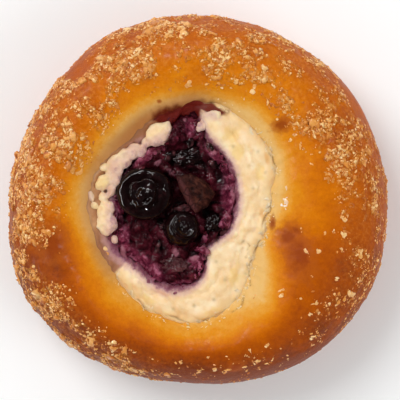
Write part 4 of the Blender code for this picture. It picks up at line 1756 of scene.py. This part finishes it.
def dried_folds(x, y):
    """1 along the creases that run over the dried skin, else 0."""
    there = Vector((x, y, 0.0)) / 2.6 + noise.noise_vector(Vector((x, y, 3.0)) / 1.8) * 0.35
    return step_between(1.0 - abs(2.0 * noise.noise(there + Vector((7.0, 1.0, 3.0)))), 0.82, 1.0)


def left_flap(x, y):
    """1 on the edge that has curled up towards the large berry, else 0."""
    return ridge(gap_to(Vector((x, y)), DRIED_FLAP), 0.0, DRIED_FLAP_WIDTH)


def make_dried(finish):
    """A dried skin: a leathery, creased scale with corners, curled up along one side."""
    corners, faces = ball(6)
    placed = []
    creases = []
    rosy = []
    for way in corners:
        flat = Vector((way.x, way.y))
        low = flat.length
        place = DRIED_MIDDLE.copy()
        if low > 1e-6:
            place += flat / low * straight_reach(flat / low, DRIED_MIDDLE, DRIED_EDGE) * low**0.8
        x, y = place
        hole = ridge((place - DRIED_HOLE).length, 0.0, DRIED_HOLE_WIDTH)
        fold = dried_folds(x, y)
        flap = left_flap(x, y)
        lift = 0.35 * noise.noise(Vector((x, y, 0.0)) / 2.2)
        lift += 0.1 * noise.noise(Vector((x, y, 9.0)) / 0.8)
        lift += 0.5 * flap - 0.35 * fold - 0.6 * hole
        slope = DRIED_SLOPE * (x - DRIED_MIDDLE.x)
        z = DRIED_TOP + slope + way.z * DRIED_THICK + lift * max(0.0, way.z) ** 0.3
        placed.append(Vector((x, y, z)))
        # The creases and the hole are told for their painted shade.
        creases.append(min(1.0, 0.6 * fold + hole))
        rosy.append(flap)
    return made_piece("berry_dried_skin", placed, faces, finish, {"crease": creases, "rosy": rosy})


# What lies in the mash


# Torn skins and crushed berries in the gaps painted as shade: middle, radius, stretch and its way
SKIN_SCRAPS = (
    ((4.0, 9.6), 1.7, 1.0, 0.0),
    ((-4.8, 9.4), 1.3, 1.3, 20.0),
    ((0.8, 8.4), 1.1, 1.4, -20.0),
    ((-7.8, 11.2), 1.6, 1.3, 30.0),
    ((2.8, 13.4), 1.2, 1.2, -60.0),
    ((-11.4, 12.2), 1.3, 1.5, 30.0),
    ((-9.2, -7.4), 1.5, 1.6, -40.0),
    ((-2.2, 14.8), 1.2, 1.2, 80.0),
    ((-4.6, -2.9), 1.9, 1.4, 10.0),
    ((6.8, -8.8), 1.3, 1.4, 50.0),
    ((-10.6, -12.6), 1.1, 1.6, 70.0),
)


def make_scraps(trees, finish):
    """Small crushed berries and torn skins in the mash."""
    heap = Heap()
    corners, faces = ball(4)
    for k, ((x, y), radius, stretch, way_deg) in enumerate(SKIN_SCRAPS):
        point, _ = top_place(trees, x, y)
        flat = turned_along(way_deg, Matrix.Diagonal((stretch, 1.0 / stretch, 0.65)))
        shift = Vector((5.0 * k, 3.0, 1.0))
        placed = []
        for way in corners:
            folds = 1.0 - abs(2.0 * noise.noise(way * 1.9 + shift))
            reach = 1.0 + 0.2 * (folds - 0.6) + 0.1 * noise.noise(way * 4.0 + shift)
            placed.append(point + flat @ way * (reach * radius))
        heap.add(placed, faces, [0.5] * len(corners))
    piece = heap.piece("skin_scraps", finish)
    tell(piece, "thin", lambda point: 0.45 + 0.7 * noise.noise(point / 1.6))
    return piece


def mash_place(tree, draw):
    """A random place on the compote's top."""
    angle = draw.uniform(-math.pi, math.pi)
    share = math.sqrt(draw.random())
    reach = compote_reach(angle) * share * 0.97
    over = COMPOTE_MIDDLE + Vector((math.cos(angle), math.sin(angle))) * reach
    return top_place([tree], over.x, over.y)


def edge_milk(point):
    """How milky mash is that lies on the cheese, and 0 inside the compote's edge."""
    over = step_between(past_mash(point), -0.9, 0.9)
    return 0.75 * over * (1.0 - step_between(point.y, 12.0, 18.0))


def tell_mash(piece, own_purple):
    """Tells the compote's finish what it needs of a piece that lies in the mash."""

    def purple(point):
        at_top = step_between(point.y, 8.0, 15.0)
        return max(own_purple * (1.0 - 0.6 * at_top), ovals(point, PURPLE))

    tell(piece, "purple", purple)
    tell(piece, "milky", lambda point: max(0.9 * ovals(point, MILKY), edge_milk(point)))
    # The gaps between the berries are painted near black as shade.
    tell(piece, "low", lambda point: ovals(point, SHADED_GAPS))


# What covers the mash from above: middle and reach in plan
COVERS = ((BERRY_LARGE.middle, 6.6), (BERRY_SMALL.middle, 4.4), (DRIED_MIDDLE, 3.6))


def under_berry(point):
    """Whether a berry or the dried skin covers this place."""
    return any(math.hypot(point.x - at.x, point.y - at.y) < reach for at, reach in COVERS)


# How many lumps of pulp there are, and how many smears along the edge and then with the neck's
PULP_LUMPS = 260
EDGE_SMEARS = 700
ALL_SMEARS = 900


def make_pulp(tree, finish):
    """Soft lumps of pulp and skin that stand out of the mash."""
    draw = random.Random(SEEDS["mash_pulp"])
    heap = Heap()
    laid = 0
    while laid < PULP_LUMPS:
        point, normal = mash_place(tree, draw)
        if point is None or clumped(point) < 0.35 or ovals(point, SHADED_GAPS) > 0.6 or under_berry(point):
            continue
        size = draw.uniform(0.4, 1.3)
        add_grain(heap, draw, point, normal, size, 2, uneven=0.9, sunk=0.7, tone=draw.random())
        laid += 1
    piece = heap.piece("mash_pulp", finish)
    tell_mash(piece, 0.0)
    return piece


# Where cheese closes in on the neck of the compote
NECK_CHEESE = (
    ((-10.0, 17.4), 3.4, 2.4, 38.0),
    ((0.8, 18.9), 2.6, 2.2, 70.0),
    ((3.4, 21.6), 4.0, 2.4, -12.0),
)


def make_smears(trees, finish):
    """Purple mash and cheese stirred together along the compote's edge, over the cheese."""
    draw = random.Random(SEEDS["mash_smears"])
    heap = Heap()
    laid = 0
    while laid < EDGE_SMEARS:
        angle = draw.uniform(-math.pi, math.pi)
        low = step_between(-math.sin(angle), -0.1, 0.5) * step_between(-math.cos(angle), -0.3, 0.2)
        spread = draw.triangular(-1.6, 0.4 + 1.2 * low, -0.2)
        reach = compote_reach(angle) + spread - 0.2
        x = COMPOTE_MIDDLE.x + math.cos(angle) * reach
        y = COMPOTE_MIDDLE.y + math.sin(angle) * reach
        if clumped(Vector((x, y, 5.0))) < 0.3:
            continue
        point, normal = top_place(trees, x, y)
        if point is None:
            continue
        size = draw.uniform(0.5, 1.2)
        add_grain(heap, draw, point, normal, size, 2, uneven=0.8, sunk=0.84, tone=draw.random())
        laid += 1
    while laid < ALL_SMEARS:
        place = Vector((draw.uniform(-11.0, 0.4), draw.uniform(16.0, 25.0), 0.0))
        if gap_to(place, STAIN) < 1.5 or well_gap(place) > -0.2 or ovals(place, NECK_CHEESE) > 0.4:
            continue
        point, normal = top_place(trees, place.x, place.y)
        if point is None:
            continue
        size = draw.uniform(0.7, 1.5)
        add_grain(heap, draw, point, normal, size, 2, uneven=0.7, sunk=0.82, tone=draw.random())
        laid += 1
    piece = heap.piece("mash_smears", finish)
    tell_mash(piece, 0.9)
    return piece


# The whole kolache


def dress():
    """Makes every piece and hides the solid that it stands for."""
    noise.seed_set(NOISE_SEED)
    cheese_look = baked_cheese()
    compote_look = cooked_compote()
    berry_look = wet_skin()
    lone = crumb_finish("lone_crumbs", paint(255, 216, 156), paint(236, 168, 92), paint(190, 98, 20))
    crust = make_crust(glazed_crust())
    crust_surface = surface_tree(crust)
    crumbs = make_crumbs(crust_surface)
    ring = make_cheese(cheese_look)
    mash = make_compote(compote_look)
    ring_surface = surface_tree(ring)
    mash_surface = surface_tree(mash)
    top = [crust_surface, ring_surface]
    filling = [ring_surface, mash_surface]
    dressed = [
        (crust, "crust", "bun"),
        *((strewn, "crust", None) for strewn in crumbs),
        (make_strays(top, lone), "crust", None),
        (make_glaze_drops(top, glaze_sugar()), "crust", None),
        (ring, "cheese", "cheese"),
        (make_curds(cheese_look), "cheese", None),
        (make_seam_crumbs(top, cheese_look), "cheese", None),
        (mash, "compote", "compote"),
        (make_pulp(mash_surface, compote_look), "compote", None),
        (make_smears(filling, compote_look), "compote", None),
        (make_scraps(filling, berry_look), "berry_skin", None),
        *make_berries(berry_look),
        (make_dried(dried_skin()), "dried_skin", "berry_dried"),
    ]
    for piece, slot, node in dressed:
        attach(piece, "root")
        if node:
            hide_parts(node)


# The studio


# The studio, in metres: half the floor's width, the point that the lamps face, and the lamps, each
# with its place, size, power, and whether it shows only as a glint in what is glossy
FLOOR_HALF = 0.9
LAMPS_FACE = Vector((0.0, 0.0, 0.02))
LAMPS = (
    ("key_box", (-0.68, 0.64, 1.14), (0.9, 0.9), 11.6, False),
    ("fill_box", (0.9, -0.5, 0.8), (0.9, 0.9), 4.4, False),
    ("strip_top", (-0.2, 0.76, 0.5), (0.6, 0.05), 2.4, True),
    ("strip_middle", (-0.66, 0.42, 0.5), (0.6, 0.05), 2.8, True),
    ("strip_left", (-0.77, -0.13, 0.5), (0.6, 0.05), 2.4, True),
    ("spark_top", (-0.2, 0.6, 1.0), (0.1, 0.08), 2.4, True),
    ("spark_right", (0.5, 0.25, 0.9), (0.07, 0.07), 1.2, True),
)

# The camera: the width that its picture spans at the widest line, its sensor and lens, all in mm,
# and how far its middle lies from the bun's
PICTURE_WIDTH = 106.67
SENSOR_WIDTH = 36.0
LENS_LENGTH = 270.0
PICTURE_MIDDLE = (0.4, -0.4)


def lay_floor():
    """A pale floor under the bun, which is no part of it."""
    mesh = bpy.data.meshes.new("floor")
    half = FLOOR_HALF
    corners = [(-half, -half, 0.0), (half, -half, 0.0), (half, half, 0.0), (-half, half, 0.0)]
    mesh.from_pydata(corners, [], [(0, 1, 2, 3)])
    mesh.materials.append(plain_floor().material)
    floor = bpy.data.objects.new("floor", mesh)
    bpy.context.scene.collection.objects.link(floor)


def hang_lamp(name, place, size, power, mirrored):
    """A lamp that faces the bun, for its light alone or for its glints alone."""
    lamp = bpy.data.lights.new(name, "AREA")
    lamp.shape = "ELLIPSE"
    lamp.size, lamp.size_y = size
    lamp.energy = power
    hung = bpy.data.objects.new(name, lamp)
    hung.location = place
    way = LAMPS_FACE - hung.location
    hung.rotation_euler = way.to_track_quat("-Z", "Y").to_euler()
    hung.visible_glossy = mirrored
    hung.visible_diffuse = not mirrored
    bpy.context.scene.collection.objects.link(hung)


def light_room():
    """White all round, weaker overhead, and weaker again as it shows in what is glossy."""
    world = bpy.data.worlds.new("white_room")
    world.use_nodes = True
    room = Sheet(world.node_tree)
    place = room.node("ShaderNodeTexCoord", output="Generated")
    height = room.node("ShaderNodeSeparateXYZ", {}, {"Vector": place}, "Z")
    walls = {"Value": height, "From Min": 0.25, "From Max": 0.95, "To Min": 1.05, "To Max": 0.2}
    glossy = room.node("ShaderNodeLightPath", output="Is Glossy Ray")
    dimmer = room.node("ShaderNodeMapRange", {}, {"Value": glossy, "To Min": 1.0, "To Max": 0.15})
    background = world.node_tree.nodes["Background"]
    room.join(background.inputs["Color"], (1.0, 1.0, 1.0, 1.0))
    room.join(background.inputs["Strength"], room.node("ShaderNodeMapRange", {}, walls) * dimmer)
    bpy.context.scene.world = world


def set_studio():
    """A pale floor, a soft key from the upper left, a weak fill and white all round."""
    lay_floor()
    for lamp in LAMPS:
        hang_lamp(*lamp)
    light_room()
    bpy.context.scene.view_settings.view_transform = "Standard"
    bpy.context.scene.view_settings.look = "None"


def set_camera():
    """Straight above, with the top of the photograph towards +Y."""
    lens = bpy.data.cameras.new("view")
    lens.sensor_width = SENSOR_WIDTH
    lens.lens = LENS_LENGTH
    away = PICTURE_WIDTH * LENS_LENGTH / SENSOR_WIDTH
    camera = bpy.data.objects.new("view", lens)
    camera.location = [at * MM for at in (*PICTURE_MIDDLE, WIDEST_Z + away)]
    bpy.context.scene.collection.objects.link(camera)
    bpy.context.scene.camera = camera


dress()
set_studio()
set_camera()
